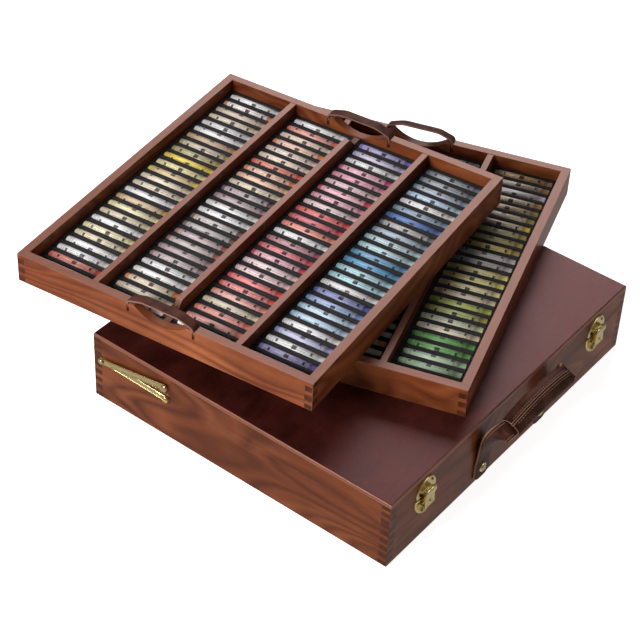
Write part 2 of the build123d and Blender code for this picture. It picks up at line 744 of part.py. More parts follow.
def strap_pins(side):
    """The two brass pins in an end wall that carry a strap."""
    return [Pos(side * pin_x, way * strap_foot_y, pin_z) * Rot(90, 0, 0)
            * Cylinder(strap_pin_radius, strap_pin_length) for way in (-1, 1)]


def build_tray(name, place, front_lean, back_lean):
    """Every piece of one tray, at its place on the stack."""
    front, back, left, right = box_walls(
        tray_length, tray_width, tray_wall, tray_height, tray_fingers, 0)
    panel = Box(inner_length, inner_tray_width, tray_panel_thickness,
                align=(Align.CENTER, Align.CENTER, Align.MIN))
    panel = Pos(0, 0, tray_panel_recess) * panel
    save(f"{name}_side_walls", place * front, place * back)
    save(f"{name}_end_walls", place * end_wall_with_notch(-1), place * end_wall_with_notch(1))
    save(f"{name}_bottom_panel", place * panel)
    save(f"{name}_dividers", *[place * divider(i) for i in range(columns_per_tray - 1)])
    save(f"{name}_foam_beds", *[place * foam(i) for i in range(columns_per_tray)])
    for index in range(columns_per_tray):
        row = [place * Pos(x, column_y(index), stick_axis_z) * stick for x in stick_xs]
        save(f"{name}_sticks_column_{index + 1}", *row)
    save(f"{name}_front_strap", place * tray_strap(-1, front_lean))
    save(f"{name}_back_strap", place * tray_strap(1, back_lean))
    save(f"{name}_strap_pins", *[place * pin for side in (-1, 1) for pin in strap_pins(side)])


lower_place = (Pos(lower_tray_x, lower_tray_y, lid_top + tray_seat_gap)
               * Rot(0, 0, lower_tray_turn))
upper_place = (Pos(upper_tray_x, upper_tray_y, lid_top + tray_height + 2 * tray_seat_gap)
               * Rot(0, 0, upper_tray_turn))
build_tray("lower_tray", lower_place, strap_lean_lower_front, strap_lean_lower_back)
build_tray("upper_tray", upper_place, 0, 0)

# ---------------------------------------------------------------- write the sub-parts
os.makedirs("parts", exist_ok=True)
for name, solids in nodes.items():
    shape = solids[0] if len(solids) == 1 else Compound(children=solids)
    shape.label = name
    export_step(shape, f"parts/{name}.step")
print(len(nodes), "sub-parts")
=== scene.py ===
# Pastel case: a lacquered wooden carrying case with two trays of pastel sticks set down on
# its closed lid. Metres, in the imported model's frame: +X along the front, -Y front, +Z up.
import bpy
import bmesh
import random
from math import asin, atan2, cos, pi, radians, sin, sqrt
from mathutils import Matrix, Vector


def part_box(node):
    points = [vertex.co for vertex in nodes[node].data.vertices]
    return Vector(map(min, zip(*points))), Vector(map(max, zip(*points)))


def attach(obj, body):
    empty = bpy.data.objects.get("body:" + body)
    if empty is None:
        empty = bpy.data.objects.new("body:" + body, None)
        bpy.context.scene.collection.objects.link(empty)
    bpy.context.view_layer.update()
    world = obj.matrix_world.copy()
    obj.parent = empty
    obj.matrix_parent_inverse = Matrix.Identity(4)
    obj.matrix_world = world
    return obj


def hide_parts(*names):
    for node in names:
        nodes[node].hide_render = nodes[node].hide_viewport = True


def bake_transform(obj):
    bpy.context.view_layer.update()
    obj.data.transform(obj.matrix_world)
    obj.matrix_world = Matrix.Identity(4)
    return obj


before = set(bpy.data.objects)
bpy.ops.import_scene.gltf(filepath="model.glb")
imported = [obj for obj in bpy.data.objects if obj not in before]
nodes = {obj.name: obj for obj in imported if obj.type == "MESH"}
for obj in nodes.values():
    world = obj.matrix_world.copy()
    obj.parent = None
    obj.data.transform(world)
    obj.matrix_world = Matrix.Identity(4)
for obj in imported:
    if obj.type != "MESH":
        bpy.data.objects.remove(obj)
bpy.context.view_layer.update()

# ------------------------------------------------------------------ camera, light and floor
# A product shot on a white sweep: the camera looks down on the front left corner, a large
# soft light stands on the left and behind, and the front of the case falls into shade.
CAMERA_PLACE = Vector((-1.2692, -0.8616, 1.3919))
CAMERA_AZIMUTH = radians(-54.1)
CAMERA_ELEVATION = radians(40.9)
CAMERA_ROLL = radians(3.11)
CAMERA_LENS = 111.04
FLOOR_HALF = 12
FLOOR_LEVEL = -0.0005


def camera_matrix():
    """The camera's place and turn, from its azimuth, elevation and roll."""
    back = Vector((sin(CAMERA_AZIMUTH) * cos(CAMERA_ELEVATION),
                   -cos(CAMERA_AZIMUTH) * cos(CAMERA_ELEVATION), sin(CAMERA_ELEVATION)))
    right = (-back).cross(Vector((0, 0, 1))).normalized()
    up = right.cross(-back)
    turned_right = right * cos(CAMERA_ROLL) + up * sin(CAMERA_ROLL)
    turned_up = up * cos(CAMERA_ROLL) - right * sin(CAMERA_ROLL)
    matrix = Matrix((turned_right, turned_up, back)).transposed().to_4x4()
    matrix.translation = CAMERA_PLACE
    return matrix


camera_data = bpy.data.cameras.new("camera")
camera_data.lens = CAMERA_LENS
camera_data.sensor_width = 36.0
camera_data.clip_end = 50.0
camera = bpy.data.objects.new("camera", camera_data)
camera.matrix_world = camera_matrix()
bpy.context.scene.collection.objects.link(camera)
bpy.context.scene.camera = camera


def soft_light(name, place, target, size, power, tint=(1.0, 1.0, 1.0)):
    """A square area light that faces a target."""
    data = bpy.data.lights.new(name, "AREA")
    data.shape = "SQUARE"
    data.size = size
    data.energy = power
    data.color = tint
    light = bpy.data.objects.new(name, data)
    direction = Vector(target) - Vector(place)
    light.matrix_world = (Matrix.Translation(place)
                          @ direction.to_track_quat("-Z", "Y").to_matrix().to_4x4())
    bpy.context.scene.collection.objects.link(light)


soft_light("key_left", (-2.2, 0.5, 1.25), (0, 0, 0.05), 1.0, 74.0, (1.0, 0.97, 0.93))
soft_light("back_sheen", (2.35, 1.35, 1.9), (0, 0, 0.1), 1.6, 33.0, (1.0, 0.85, 0.86))
soft_light("top_back", (0.2, 2.3, 1.8), (0, 0, 0.1), 1.4, 26.0)
soft_light("front_fill", (0.9, -2.2, 1.0), (0, 0, 0.05), 1.4, 8.0)

world = bpy.data.worlds.new("white_sweep")
world.use_nodes = True
world_tree = world.node_tree
sky = world_tree.nodes.new("ShaderNodeTexCoord")
height = world_tree.nodes.new("ShaderNodeSeparateXYZ")
world_tree.links.new(sky.outputs["Generated"], height.inputs[0])
fade = world_tree.nodes.new("ShaderNodeMapRange")
fade.inputs["From Min"].default_value = -0.6
fade.inputs["From Max"].default_value = 0.0
fade.inputs["To Min"].default_value = 0.42
fade.inputs["To Max"].default_value = 0.10
world_tree.links.new(height.outputs["Z"], fade.inputs["Value"])
world_tree.links.new(fade.outputs["Result"], world_tree.nodes["Background"].inputs["Strength"])
world_tree.nodes["Background"].inputs["Color"].default_value = (1.0, 0.99, 0.98, 1.0)
bpy.context.scene.world = world
bpy.context.scene.view_settings.view_transform = "Standard"

floor_mesh = bpy.data.meshes.new("floor")
floor_mesh.from_pydata([(x * FLOOR_HALF, y * FLOOR_HALF, FLOOR_LEVEL)
                        for x, y in ((-1, -1), (1, -1), (1, 1), (-1, 1))], [], [(0, 1, 2, 3)])
floor = bpy.data.objects.new("floor", floor_mesh)
bpy.context.scene.collection.objects.link(floor)
floor_paint = bpy.data.materials.new("floor_white")
floor_paint.use_nodes = True
floor_shader = floor_paint.node_tree.nodes["Principled BSDF"]
floor_shader.inputs["Base Color"].default_value = (0.75, 0.75, 0.75, 1.0)
floor_shader.inputs["Roughness"].default_value = 0.9
floor_shader.inputs["Specular IOR Level"].default_value = 0.1
floor_shader.inputs["Emission Color"].default_value = (1.0, 1.0, 1.0, 1.0)
floor_shader.inputs["Emission Strength"].default_value = 0.87
floor.data.materials.append(floor_paint)
floor.visible_glossy = False

# ------------------------------------------------------------------ lacquered boards
# Every board is the same close-grained hardwood, sawn with the grain along its length,
# stained red-brown, lacquered, and rubbed paler along its arrises and top edges.
BOARD_DARK = (0.070, 0.0160, 0.0062)
BOARD_MIDDLE = (0.148, 0.038, 0.0125)
BOARD_LIGHT = (0.260, 0.082, 0.028)
BOARD_END = (0.020, 0.0055, 0.0035)
BOARD_WORN = (0.27, 0.115, 0.065)
BOARD_RIM = (0.225, 0.088, 0.060)
BOARD_SHEEN = (1.0, 0.80, 0.68)
BOARD_GLOSS = 0.18
BOARD_RUB_REACH = 0.0016
JOINT_OVERLAP = 0.0002
GLUE_LINE_WIDTH = 0.00022
END_GRAIN_DEPTH = 0.0004


def new_group(name, inputs, outputs):
    """An empty shader node group; inputs are (name, kind, value), outputs (name, kind)."""
    group = bpy.data.node_groups.new(name, "ShaderNodeTree")
    kinds = {"float": "NodeSocketFloat", "vector": "NodeSocketVector", "color": "NodeSocketColor"}
    for label, kind, value in inputs:
        socket = group.interface.new_socket(label, in_out="INPUT", socket_type=kinds[kind])
        if value is not None:
            socket.default_value = value
    for label, kind in outputs:
        group.interface.new_socket(label, in_out="OUTPUT", socket_type=kinds[kind])
    return group, group.nodes.new("NodeGroupInput").outputs, group.nodes.new("NodeGroupOutput").inputs


def feed(tree, socket, value):
    """Set a socket to a number, a triple or another socket."""
    if isinstance(value, bpy.types.NodeSocket):
        tree.links.new(value, socket)
    elif isinstance(value, (int, float)):
        socket.default_value = value
    elif socket.type == "RGBA":
        socket.default_value = (*value, 1.0)
    else:
        socket.default_value = value


def calc(tree, operation, a, b=0.0, c=0.0, clamp=False):
    """A Math node on sockets or numbers."""
    node = tree.nodes.new("ShaderNodeMath")
    node.operation = operation
    node.use_clamp = clamp
    for socket, value in zip(node.inputs, (a, b, c)):
        feed(tree, socket, value)
    return node.outputs[0]


def plus(tree, a, b):
    """The sum of two sockets or numbers."""
    return calc(tree, "ADD", a, b)


def times(tree, a, b):
    """The product of two sockets or numbers."""
    return calc(tree, "MULTIPLY", a, b)


def vector_calc(tree, operation, a, b=(0.0, 0.0, 0.0)):
    """A Vector Math node on sockets or triples."""
    node = tree.nodes.new("ShaderNodeVectorMath")
    node.operation = operation
    feed(tree, node.inputs[0], a)
    feed(tree, node.inputs[1], b)
    return node.outputs[0]


def axes(tree, vector):
    """The X, Y and Z parts of a vector."""
    node = tree.nodes.new("ShaderNodeSeparateXYZ")
    tree.links.new(vector, node.inputs[0])
    return node.outputs


def mix(tree, factor, a, b):
    """A colour Mix node on sockets or triples."""
    node = tree.nodes.new("ShaderNodeMix")
    node.data_type = "RGBA"
    for socket, value in ((node.inputs["Factor"], factor), (node.inputs[6], a), (node.inputs[7], b)):
        feed(tree, socket, value)
    return node.outputs[2]


def noise(tree, vector, scale, detail=3.0, rough=0.5, distort=0.0):
    """A Noise texture's value."""
    node = tree.nodes.new("ShaderNodeTexNoise")
    node.inputs["Scale"].default_value = scale
    node.inputs["Detail"].default_value = detail
    node.inputs["Roughness"].default_value = rough
    node.inputs["Distortion"].default_value = distort
    tree.links.new(vector, node.inputs["Vector"])
    return node.outputs["Fac"]


def scaled(color, share):
    """A colour made darker or lighter."""
    return tuple(v * share for v in color)


def span(tree, value, low, high):
    """A value mapped from low..high to 0..1 and held there."""
    node = tree.nodes.new("ShaderNodeMapRange")
    feed(tree, node.inputs["Value"], value)
    node.inputs["From Min"].default_value = low
    node.inputs["From Max"].default_value = high
    return node.outputs["Result"]


def wood_grain_group():
    """Figure, slow stain and pores of a board; its grain runs along the vector's X."""
    group, given, out = new_group("wood_grain", [("place", "vector", None)],
                                  [("figure", "float"), ("stain", "float"), ("pores", "float")])
    place = given["place"]
    broad = noise(group, vector_calc(group, "MULTIPLY", place, (7.0, 24.0, 24.0)), 1.0, 4.0, 0.55, 1.5)
    streak = noise(group, vector_calc(group, "MULTIPLY", place, (9.0, 120.0, 120.0)), 1.0, 3.0, 0.6, 0.4)
    hills = noise(group, vector_calc(group, "MULTIPLY", place, (3.2, 15.0, 15.0)), 1.0, 1.2, 0.5, 0.9)
    arches = calc(group, "PINGPONG", times(group, hills, 24.0), 1.0)
    figure = plus(group, times(group, broad, 0.44), times(group, streak, 0.26))
    feed(group, out["figure"], plus(group, figure, times(group, arches, 0.30)))
    feed(group, out["stain"], noise(group, place, 9.0, 3.0, 0.55))
    fibre_place = vector_calc(group, "MULTIPLY", place, (90.0, 1900.0, 1900.0))
    feed(group, out["pores"], noise(group, fibre_place, 1.0, 2.0, 0.65))
    return group


def board_edge_group():
    """How far a point lies from its board's nearest arris, and from its two ends."""
    group, given, out = new_group(
        "board_edges",
        [("place", "vector", None), ("middle", "vector", None), ("half size", "vector", None),
         ("paired", "vector", None)],
        [("arris", "float"), ("end", "float"), ("top", "float")])
    place = given["place"]
    shift = vector_calc(group, "SUBTRACT", vector_calc(group, "ABSOLUTE", place), place)
    gain = vector_calc(group, "MULTIPLY", shift, given["paired"])
    centred = vector_calc(group, "SUBTRACT", vector_calc(group, "ADD", place, gain), given["middle"])
    room = vector_calc(group, "SUBTRACT", given["half size"], vector_calc(group, "ABSOLUTE", centred))
    x, y, z = axes(group, room)
    least = calc(group, "MINIMUM", calc(group, "MINIMUM", x, y), z)
    most = calc(group, "MAXIMUM", calc(group, "MAXIMUM", x, y), z)
    total = plus(group, plus(group, x, y), z)
    feed(group, out["arris"], calc(group, "SUBTRACT", calc(group, "SUBTRACT", total, most), least))
    feed(group, out["end"], x)
    upper = axes(group, centred)[2]
    half_height = axes(group, given["half size"])[2]
    feed(group, out["top"], calc(group, "SUBTRACT", half_height, upper))
    return group


WOOD_GRAIN = wood_grain_group()
BOARD_EDGES = board_edge_group()


def placed_group(tree, group, **values):
    """A group node in a material, with its inputs set by name."""
    node = tree.nodes.new("ShaderNodeGroup")
    node.node_tree = group
    for label, value in values.items():
        feed(tree, node.inputs[label.replace("_", " ")], value)
    return node.outputs


def new_material(name):
    """A material with its shader and the object coordinates."""
    material = bpy.data.materials.new(name)
    material.use_nodes = True
    tree = material.node_tree
    place = tree.nodes.new("ShaderNodeTexCoord").outputs["Object"]
    return material, tree, tree.nodes["Principled BSDF"], place


def set_shader(tree, shader, values):
    """Set the shader's named inputs to numbers, colours or sockets."""
    for label, value in values.items():
        feed(tree, shader.inputs[label], value)


def add_bump(tree, shader, height, strength, distance):
    """Relief on the shader's normal from a height."""
    bump = tree.nodes.new("ShaderNodeBump")
    bump.inputs["Strength"].default_value = strength
    bump.inputs["Distance"].default_value = distance
    tree.links.new(height, bump.inputs["Height"])
    tree.links.new(bump.outputs["Normal"], shader.inputs["Normal"])


def board_material(name, origin, turn, middle, half, paired=(0, 0, 0), rim=0.0, finger=0.0, wall=0.0,
                   depth=1.0, rub=0.5):
    """Lacquered wood for one board, or for a mirrored pair, in a frame turned about Z.

    origin and turn place the frame; middle and half are the board's box in it, with the
    grain on X; rim is how pale the top edge is; finger and wall are the corner joint's
    pitch and depth; depth darkens the stain and rub wears its arrises pale.
    """
    material, tree, shader, place = new_material(name)
    mapping = tree.nodes.new("ShaderNodeMapping")
    mapping.vector_type = "TEXTURE"
    mapping.inputs["Location"].default_value = origin
    mapping.inputs["Rotation"].default_value = (0.0, 0.0, turn)
    tree.links.new(place, mapping.inputs["Vector"])
    board = mapping.outputs["Vector"]
    grain = placed_group(tree, WOOD_GRAIN, place=board)
    edges = placed_group(tree, BOARD_EDGES, place=board, middle=middle, half_size=half, paired=paired)

    figured = span(tree, grain["figure"], 0.30, 0.72)
    deep = mix(tree, figured, scaled(BOARD_DARK, depth), scaled(BOARD_MIDDLE, depth))
    stained = span(tree, grain["stain"], 0.42, 0.72)
    color = mix(tree, times(tree, stained, times(tree, figured, 0.75)), deep, scaled(BOARD_LIGHT, depth))
    color = mix(tree, times(tree, span(tree, grain["pores"], 0.58, 0.74), 0.50), color,
                scaled(BOARD_DARK, 0.5))
    end_grain = calc(tree, "LESS_THAN", edges["end"], END_GRAIN_DEPTH)
    color = mix(tree, times(tree, end_grain, 0.72), color, BOARD_END)
    if finger > 0:
        level = calc(tree, "DIVIDE", plus(tree, axes(tree, board)[2], half[2] - middle[2]), finger)
        slip = times(tree, calc(tree, "PINGPONG", level, 0.5), finger)
        line = calc(tree, "LESS_THAN", slip, GLUE_LINE_WIDTH)
        near = calc(tree, "LESS_THAN", edges["end"], wall)
        color = mix(tree, times(tree, times(tree, line, near), 0.85), color, scaled(BOARD_DARK, 0.25))
    gloss = BOARD_GLOSS
    if rim > 0:
        on_top = calc(tree, "LESS_THAN", edges["top"], END_GRAIN_DEPTH)
        worn_top = plus(tree, times(tree, span(tree, grain["figure"], 0.2, 0.8), 0.3), 0.70)
        color = mix(tree, times(tree, times(tree, on_top, worn_top), rim), color, BOARD_RIM)
        gloss = plus(tree, times(tree, on_top, 0.30 * min(rim, 1.0)), BOARD_GLOSS)
    rubbed = times(tree, span(tree, noise(tree, place, 60.0, 3.0, 0.6), 0.40, 0.75), BOARD_RUB_REACH)
    share = calc(tree, "DIVIDE", edges["arris"], plus(tree, rubbed, 0.0001))
    wear = calc(tree, "SUBTRACT", 1.0, share, clamp=True)
    color = mix(tree, times(tree, wear, rub), color, BOARD_WORN)
    rough = plus(tree, times(tree, grain["pores"], 0.16), 0.24)
    set_shader(tree, shader, {"Base Color": color, "Roughness": rough, "Specular IOR Level": gloss,
                              "Specular Tint": BOARD_SHEEN, "Coat Weight": 0.05, "Coat Roughness": 0.16})
    relief = plus(tree, grain["pores"], times(tree, grain["figure"], 0.8))
    add_bump(tree, shader, relief, 0.18, 0.0002)
    return material


def dress(node, material):
    """Give a CAD node one material."""
    slots = nodes[node].data.materials
    slots.clear()
    slots.append(material)


# ------------------------------------------------------------------ case base and lid frame
# Ten-millimetre boards, finger-jointed and glued at the four corners of the base and of the
# lid, cut apart at the seam after gluing so that their figure runs on across it.
CASE_FINGERS = {"base": 11, "lid": 5}


def dress_case_board(part, side):
    """One wall of the base or the lid."""
    name = f"{part}_{side}_wall"
    low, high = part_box(name)
    middle, half = (low + high) / 2, (high - low) / 2
    across = side in ("left", "right")
    size = (half.y, half.x, half.z) if across else tuple(half)
    material = board_material(
        f"{part}_{side}_board", (middle.x, middle.y, 0.0), pi / 2 if across else 0.0,
        (0.0, 0.0, middle.z), size, rim=0.25, finger=2 * half.z / CASE_FINGERS[part],
        wall=2 * min(half.x, half.y) + JOINT_OVERLAP, depth=0.84, rub=0.12)
    dress(name, material)


for part in ("base", "lid"):
    for side in ("front", "back", "left", "right"):
        dress_case_board(part, side)

low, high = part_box("base_bottom_panel")
dress("base_bottom_panel", board_material("base_bottom_ply", tuple((low + high) / 2), 0.0, (0, 0, 0),
                                          tuple((high - low) / 2), depth=1.1))

# ------------------------------------------------------------------ lid panel
# One sheet glued over the lid's frame, stained darkest of all and polished under a thick
# clear lacquer, with a rounded edge whose arris is rubbed through. Its face is left bare.
LID_DARK = (0.010, 0.0012, 0.0010)
LID_RED = (0.052, 0.0080, 0.0056)
LID_SIDE = (0.15, 0.055, 0.028)
LID_EDGE = (0.34, 0.145, 0.075)
LID_SPECKLE = (0.16, 0.05, 0.042)
LID_SHEEN = (1.0, 0.50, 0.48)
LID_ARRIS = 0.0002
LID_RUB_REACH = 0.0026


def lid_material():
    """Deep red-brown polish with a faint mottle."""
    low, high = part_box("lid_top_panel")
    middle, half = (low + high) / 2, (high - low) / 2
    material, tree, shader, place = new_material("lid_polish")
    grain = placed_group(tree, WOOD_GRAIN, place=place)
    edges = placed_group(tree, BOARD_EDGES, place=place, middle=tuple(middle), half_size=tuple(half))
    mottle = noise(tree, place, 26.0, 4.0, 0.62)
    tone = plus(tree, times(tree, mottle, 0.75), times(tree, grain["figure"], 0.25))
    color = mix(tree, span(tree, tone, 0.36, 0.66), LID_DARK, LID_RED)
    speckle = span(tree, noise(tree, place, 420.0, 2.0, 0.6), 0.60, 0.80)
    color = mix(tree, times(tree, speckle, 0.35), color, LID_SPECKLE)
    thick = high.z - low.z
    on_side = times(tree, calc(tree, "GREATER_THAN", edges["top"], LID_ARRIS),
                    calc(tree, "LESS_THAN", edges["top"], thick - LID_ARRIS))
    color = mix(tree, times(tree, on_side, 0.8), color, LID_SIDE)
    ragged = times(tree, noise(tree, place, 55.0, 3.0, 0.6), LID_RUB_REACH)
    wear = calc(tree, "SUBTRACT", 1.0, calc(tree, "DIVIDE", edges["arris"], ragged), clamp=True)
    color = mix(tree, times(tree, wear, 0.42), color, LID_EDGE)
    rough = plus(tree, times(tree, mottle, 0.12), 0.36)
    set_shader(tree, shader, {"Base Color": color, "Roughness": rough, "Specular IOR Level": 0.80,
                              "Specular Tint": LID_SHEEN, "Coat Weight": 0.03, "Coat Roughness": 0.30})
    add_bump(tree, shader, plus(tree, mottle, grain["pores"]), 0.06, 0.0003)
    return material


dress("lid_top_panel", lid_material())

# ------------------------------------------------------------------ brass
# Stamped and turned brass, polished and thinly lacquered, with a little brown tarnish in
# patches and fine rub marks. Every fitting of the case is made of it.
BRASS_BRIGHT = (0.93, 0.76, 0.38)
BRASS_DULL = (0.48, 0.34, 0.13)


def brass_material(name, dullness):
    """Polished brass; dullness 0 to 1 darkens and roughens it."""
    material, tree, shader, place = new_material(name)
    tarnish = span(tree, noise(tree, place, 140.0, 4.0, 0.6), 0.42, 0.75)
    color = mix(tree, calc(tree, "ADD", times(tree, tarnish, 0.4), dullness * 0.5, clamp=True),
                BRASS_BRIGHT, BRASS_DULL)
    rub = noise(tree, vector_calc(tree, "MULTIPLY", place, (1.0, 1.0, 9.0)), 500.0, 2.0, 0.5)
    rough = plus(tree, times(tree, rub, 0.18), 0.16 + 0.12 * dullness)
    set_shader(tree, shader, {"Base Color": color, "Metallic": 1.0, "Roughness": rough})
    add_bump(tree, shader, rub, 0.05, 0.0001)
    return material


brass = brass_material("brass_polished", 0.0)
brass_worn = brass_material("brass_worn", 0.6)
for fitting in ("hinge_base_leaf", "hinge_lid_leaf", "hinge_pin", "latch_pins"):
    dress(fitting, brass_worn)
for end in ("left", "right"):
    dress(f"stay_rivet_{end}", brass)

# ------------------------------------------------------------------ trays: boards
# Each tray is a finger-jointed frame of nine-millimetre boards with a ply bottom let in and
# three dividers housed in its ends. Lacquer has worn thin and pale on all the top edges.
TRAYS = ("lower_tray", "upper_tray")
TRAY_FINGERS = 6
TRAY_WALL = 0.009
DIVIDER_HOUSING = 0.01


def panel_frame(node):
    """The panel's own frame: its centre and the turn of its long side about Z."""
    points = [v.co for v in nodes[node].data.vertices]
    nearest = min(points, key=lambda p: p.y)
    rightmost = max(points, key=lambda p: p.x)
    turn = atan2(rightmost.y - nearest.y, rightmost.x - nearest.x)
    low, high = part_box(node)
    return (low + high) / 2, turn


TRAY_FRAME = {tray: panel_frame(f"{tray}_bottom_panel") for tray in TRAYS}


def tray_box(tray, node):
    """A node's lowest and highest corners in its tray's own frame, heights kept."""
    centre, turn = TRAY_FRAME[tray]
    back = Matrix.Rotation(-turn, 3, "Z")
    spots = [back @ (v.co - Vector((centre.x, centre.y, 0))) for v in nodes[node].data.vertices]
    low = Vector([min(p[i] for p in spots) for i in range(3)])
    high = Vector([max(p[i] for p in spots) for i in range(3)])
    return low, high


def to_tray(tray):
    """The matrix from a tray's own frame to the row's frame."""
    centre, turn = TRAY_FRAME[tray]
    return Matrix.Translation((centre.x, centre.y, 0)) @ Matrix.Rotation(turn, 4, "Z")


def dress_tray(tray):
    """Wood for one tray's sides, ends, dividers and bottom."""
    centre, turn = TRAY_FRAME[tray]
    origin = (centre.x, centre.y, 0.0)
    low, high = tray_box(tray, f"{tray}_side_walls")
    level, rise = (low.z + high.z) / 2, (high.z - low.z) / 2
    finger = 2 * rise / TRAY_FINGERS
    sides = board_material(f"{tray}_side_board", origin, turn, (0, high.y - TRAY_WALL / 2, level),
                           (high.x, TRAY_WALL / 2, rise), paired=(0, 1, 0), rim=1.0, finger=finger,
                           wall=TRAY_WALL + JOINT_OVERLAP, depth=1.2)
    dress(f"{tray}_side_walls", sides)
    ends = board_material(f"{tray}_end_board", origin, turn + pi / 2, (0, high.x - TRAY_WALL / 2, level),
                          (high.y, TRAY_WALL / 2, rise), paired=(0, 1, 0), rim=1.0, finger=finger,
                          wall=TRAY_WALL + JOINT_OVERLAP, depth=1.2)
    dress(f"{tray}_end_walls", ends)
    low, high = tray_box(tray, f"{tray}_dividers")
    middle, half = (low + high) / 2, (high - low) / 2
    dress(f"{tray}_dividers", board_material(f"{tray}_divider_board", origin, turn, (0, 0, middle.z),
                                             (half.x + DIVIDER_HOUSING, half.y + DIVIDER_HOUSING, half.z),
                                             rim=1.25))
    low, high = tray_box(tray, f"{tray}_bottom_panel")
    middle, half = (low + high) / 2, (high - low) / 2
    dress(f"{tray}_bottom_panel", board_material(f"{tray}_bottom_ply", origin, turn, (0, 0, middle.z),
                                                 tuple(half), depth=1.3))
    dress(f"{tray}_strap_pins", brass_worn)


for tray in TRAYS:
    dress_tray(tray)

# ------------------------------------------------------------------ trays: foam beds
# Soft black foam, die-cut with one groove for each stick. The lips of a groove close a little
# over its stick, and between two grooves the skin swells, each time a little differently.
STICKS_IN_ROW = 25
ROW_MARGIN = 0.0025
STICK_RADIUS = 0.005
STICK_LENGTH = 0.0655
STICK_SINK = 0.003
GROOVE_SLACK = 0.0002
GROOVE_END_SLACK = 0.0005
LIP_ROUND = 0.0009
FOAM_CROWN = 0.0012
FOAM_SAG = 0.0004
FOAM_TRIM = 0.0003
FOAM_SEED = 11
GROOVE_STEPS = 10
WELD = 1e-6
SHARP_ANGLE = radians(38)
FOAM_COLOR = (0.012, 0.012, 0.014)
FOAM_DUST = (0.085, 0.078, 0.078)


def new_piece(name, shape, material, smooth=False):
    """A finished piece's object at the origin, from a bmesh."""
    bmesh.ops.recalc_face_normals(shape, faces=shape.faces)
    mesh = bpy.data.meshes.new(name)
    shape.to_mesh(mesh)
    shape.free()
    if smooth:
        mesh.shade_smooth()
        mesh.set_sharp_from_angle(angle=SHARP_ANGLE)
    mesh.materials.append(material)
    piece = bpy.data.objects.new(name, mesh)
    bpy.context.scene.collection.objects.link(piece)
    return piece


def column_box(tray, column):
    """The middle of a column across the tray, and its half width, from its stick node."""
    low, high = tray_box(tray, f"{tray}_sticks_column_{column}")
    return (low.y + high.y) / 2, (high.y - low.y) / 2


def groove_profile(pitch):
    """(x, drop) across one pitch of foam; the lips of the groove close over the stick."""
    radius = STICK_RADIUS + GROOVE_SLACK
    lift = asin(STICK_SINK / radius)
    lip = radius * cos(lift)
    points = [(-pitch / 2, -FOAM_CROWN), (-lip - LIP_ROUND * 1.5, -FOAM_CROWN * 0.85),
              (-lip - LIP_ROUND * 0.4, -FOAM_CROWN * 0.35)]
    for step in range(GROOVE_STEPS + 1):
        angle = pi - lift + (pi + 2 * lift) * step / GROOVE_STEPS
        points.append((radius * cos(angle), STICK_SINK - radius * sin(angle)))
    points += [(lip + LIP_ROUND * 0.4, -FOAM_CROWN * 0.35), (lip + LIP_ROUND * 1.5, -FOAM_CROWN * 0.85)]
    return points, lip


def add_strip(shape, near, far):
    """Faces between two lines of points; where corners meet, a triangle."""
    for i in range(len(near) - 1):
        corners = []
        for vert in (near[i], near[i + 1], far[i + 1], far[i]):
            if all((vert.co - other.co).length > WELD for other in corners):
                corners.append(vert)
        if len(corners) > 2:
            shape.faces.new(corners)


def add_bed(shape, low, high, middle, half_bed, reach, dice):
    """One foam bed with its grooves; reach is how far a groove runs to either side."""
    pitch = (high.x - low.x - 2 * (ROW_MARGIN - FOAM_TRIM)) / STICKS_IN_ROW
    profile, lip = groove_profile(pitch)
    line = [(low.x, low.x, 0.0)]
    for index in range(STICKS_IN_ROW):
        centre_x = (index - (STICKS_IN_ROW - 1) / 2) * pitch
        sag = dice.uniform(0.0, FOAM_SAG)
        for x, drop in profile:
            flat_x = x if abs(x) > lip else max(-lip, min(lip, x * 0.8))
            line.append((centre_x + x, centre_x + flat_x, drop + sag if drop < 0.0 else drop))
    line.append((high.x, high.x, 0.0))
    rows = []
    for y, grooved in ((-half_bed, False), (-reach, False), (-reach, True), (reach, True),
                       (reach, False), (half_bed, False)):
        rows.append([shape.verts.new((x, middle + y, high.z - drop) if grooved else
                                     (flat_x, middle + y, high.z)) for x, flat_x, drop in line])
    for near, far in zip(rows, rows[1:]):
        add_strip(shape, near, far)
    near_left, near_right, far_right, far_left = [
        shape.verts.new((x, middle + y, low.z))
        for x, y in ((low.x, -half_bed), (high.x, -half_bed), (high.x, half_bed), (low.x, half_bed))]
    shape.faces.new([*rows[0], near_right, near_left])
    shape.faces.new([*rows[-1][::-1], far_left, far_right])
    ends = rows[:2] + rows[4:]
    shape.faces.new([*(row[0] for row in ends), far_left, near_left])
    shape.faces.new([*(row[-1] for row in ends), far_right, near_right])
    shape.faces.new([near_left, near_right, far_right, far_left])


def make_foam(tray):
    """The four foam beds of a tray, as one piece."""
    low, high = tray_box(tray, f"{tray}_foam_beds")
    dice = random.Random(FOAM_SEED)
    shape = bmesh.new()
    width = column_box(tray, 1)[0] - column_box(tray, 2)[0]
    half_bed = (high.y - low.y) / 2 - 1.5 * width
    for column in range(1, 5):
        middle, half_stick = column_box(tray, column)
        add_bed(shape, low, high, middle, half_bed, half_stick + GROOVE_END_SLACK, dice)
    bmesh.ops.remove_doubles(shape, verts=shape.verts, dist=WELD)
    foam = new_piece(f"{tray}_foam", shape, foam_skin)
    foam.data.transform(to_tray(tray))
    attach(foam, tray)
    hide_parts(f"{tray}_foam_beds")


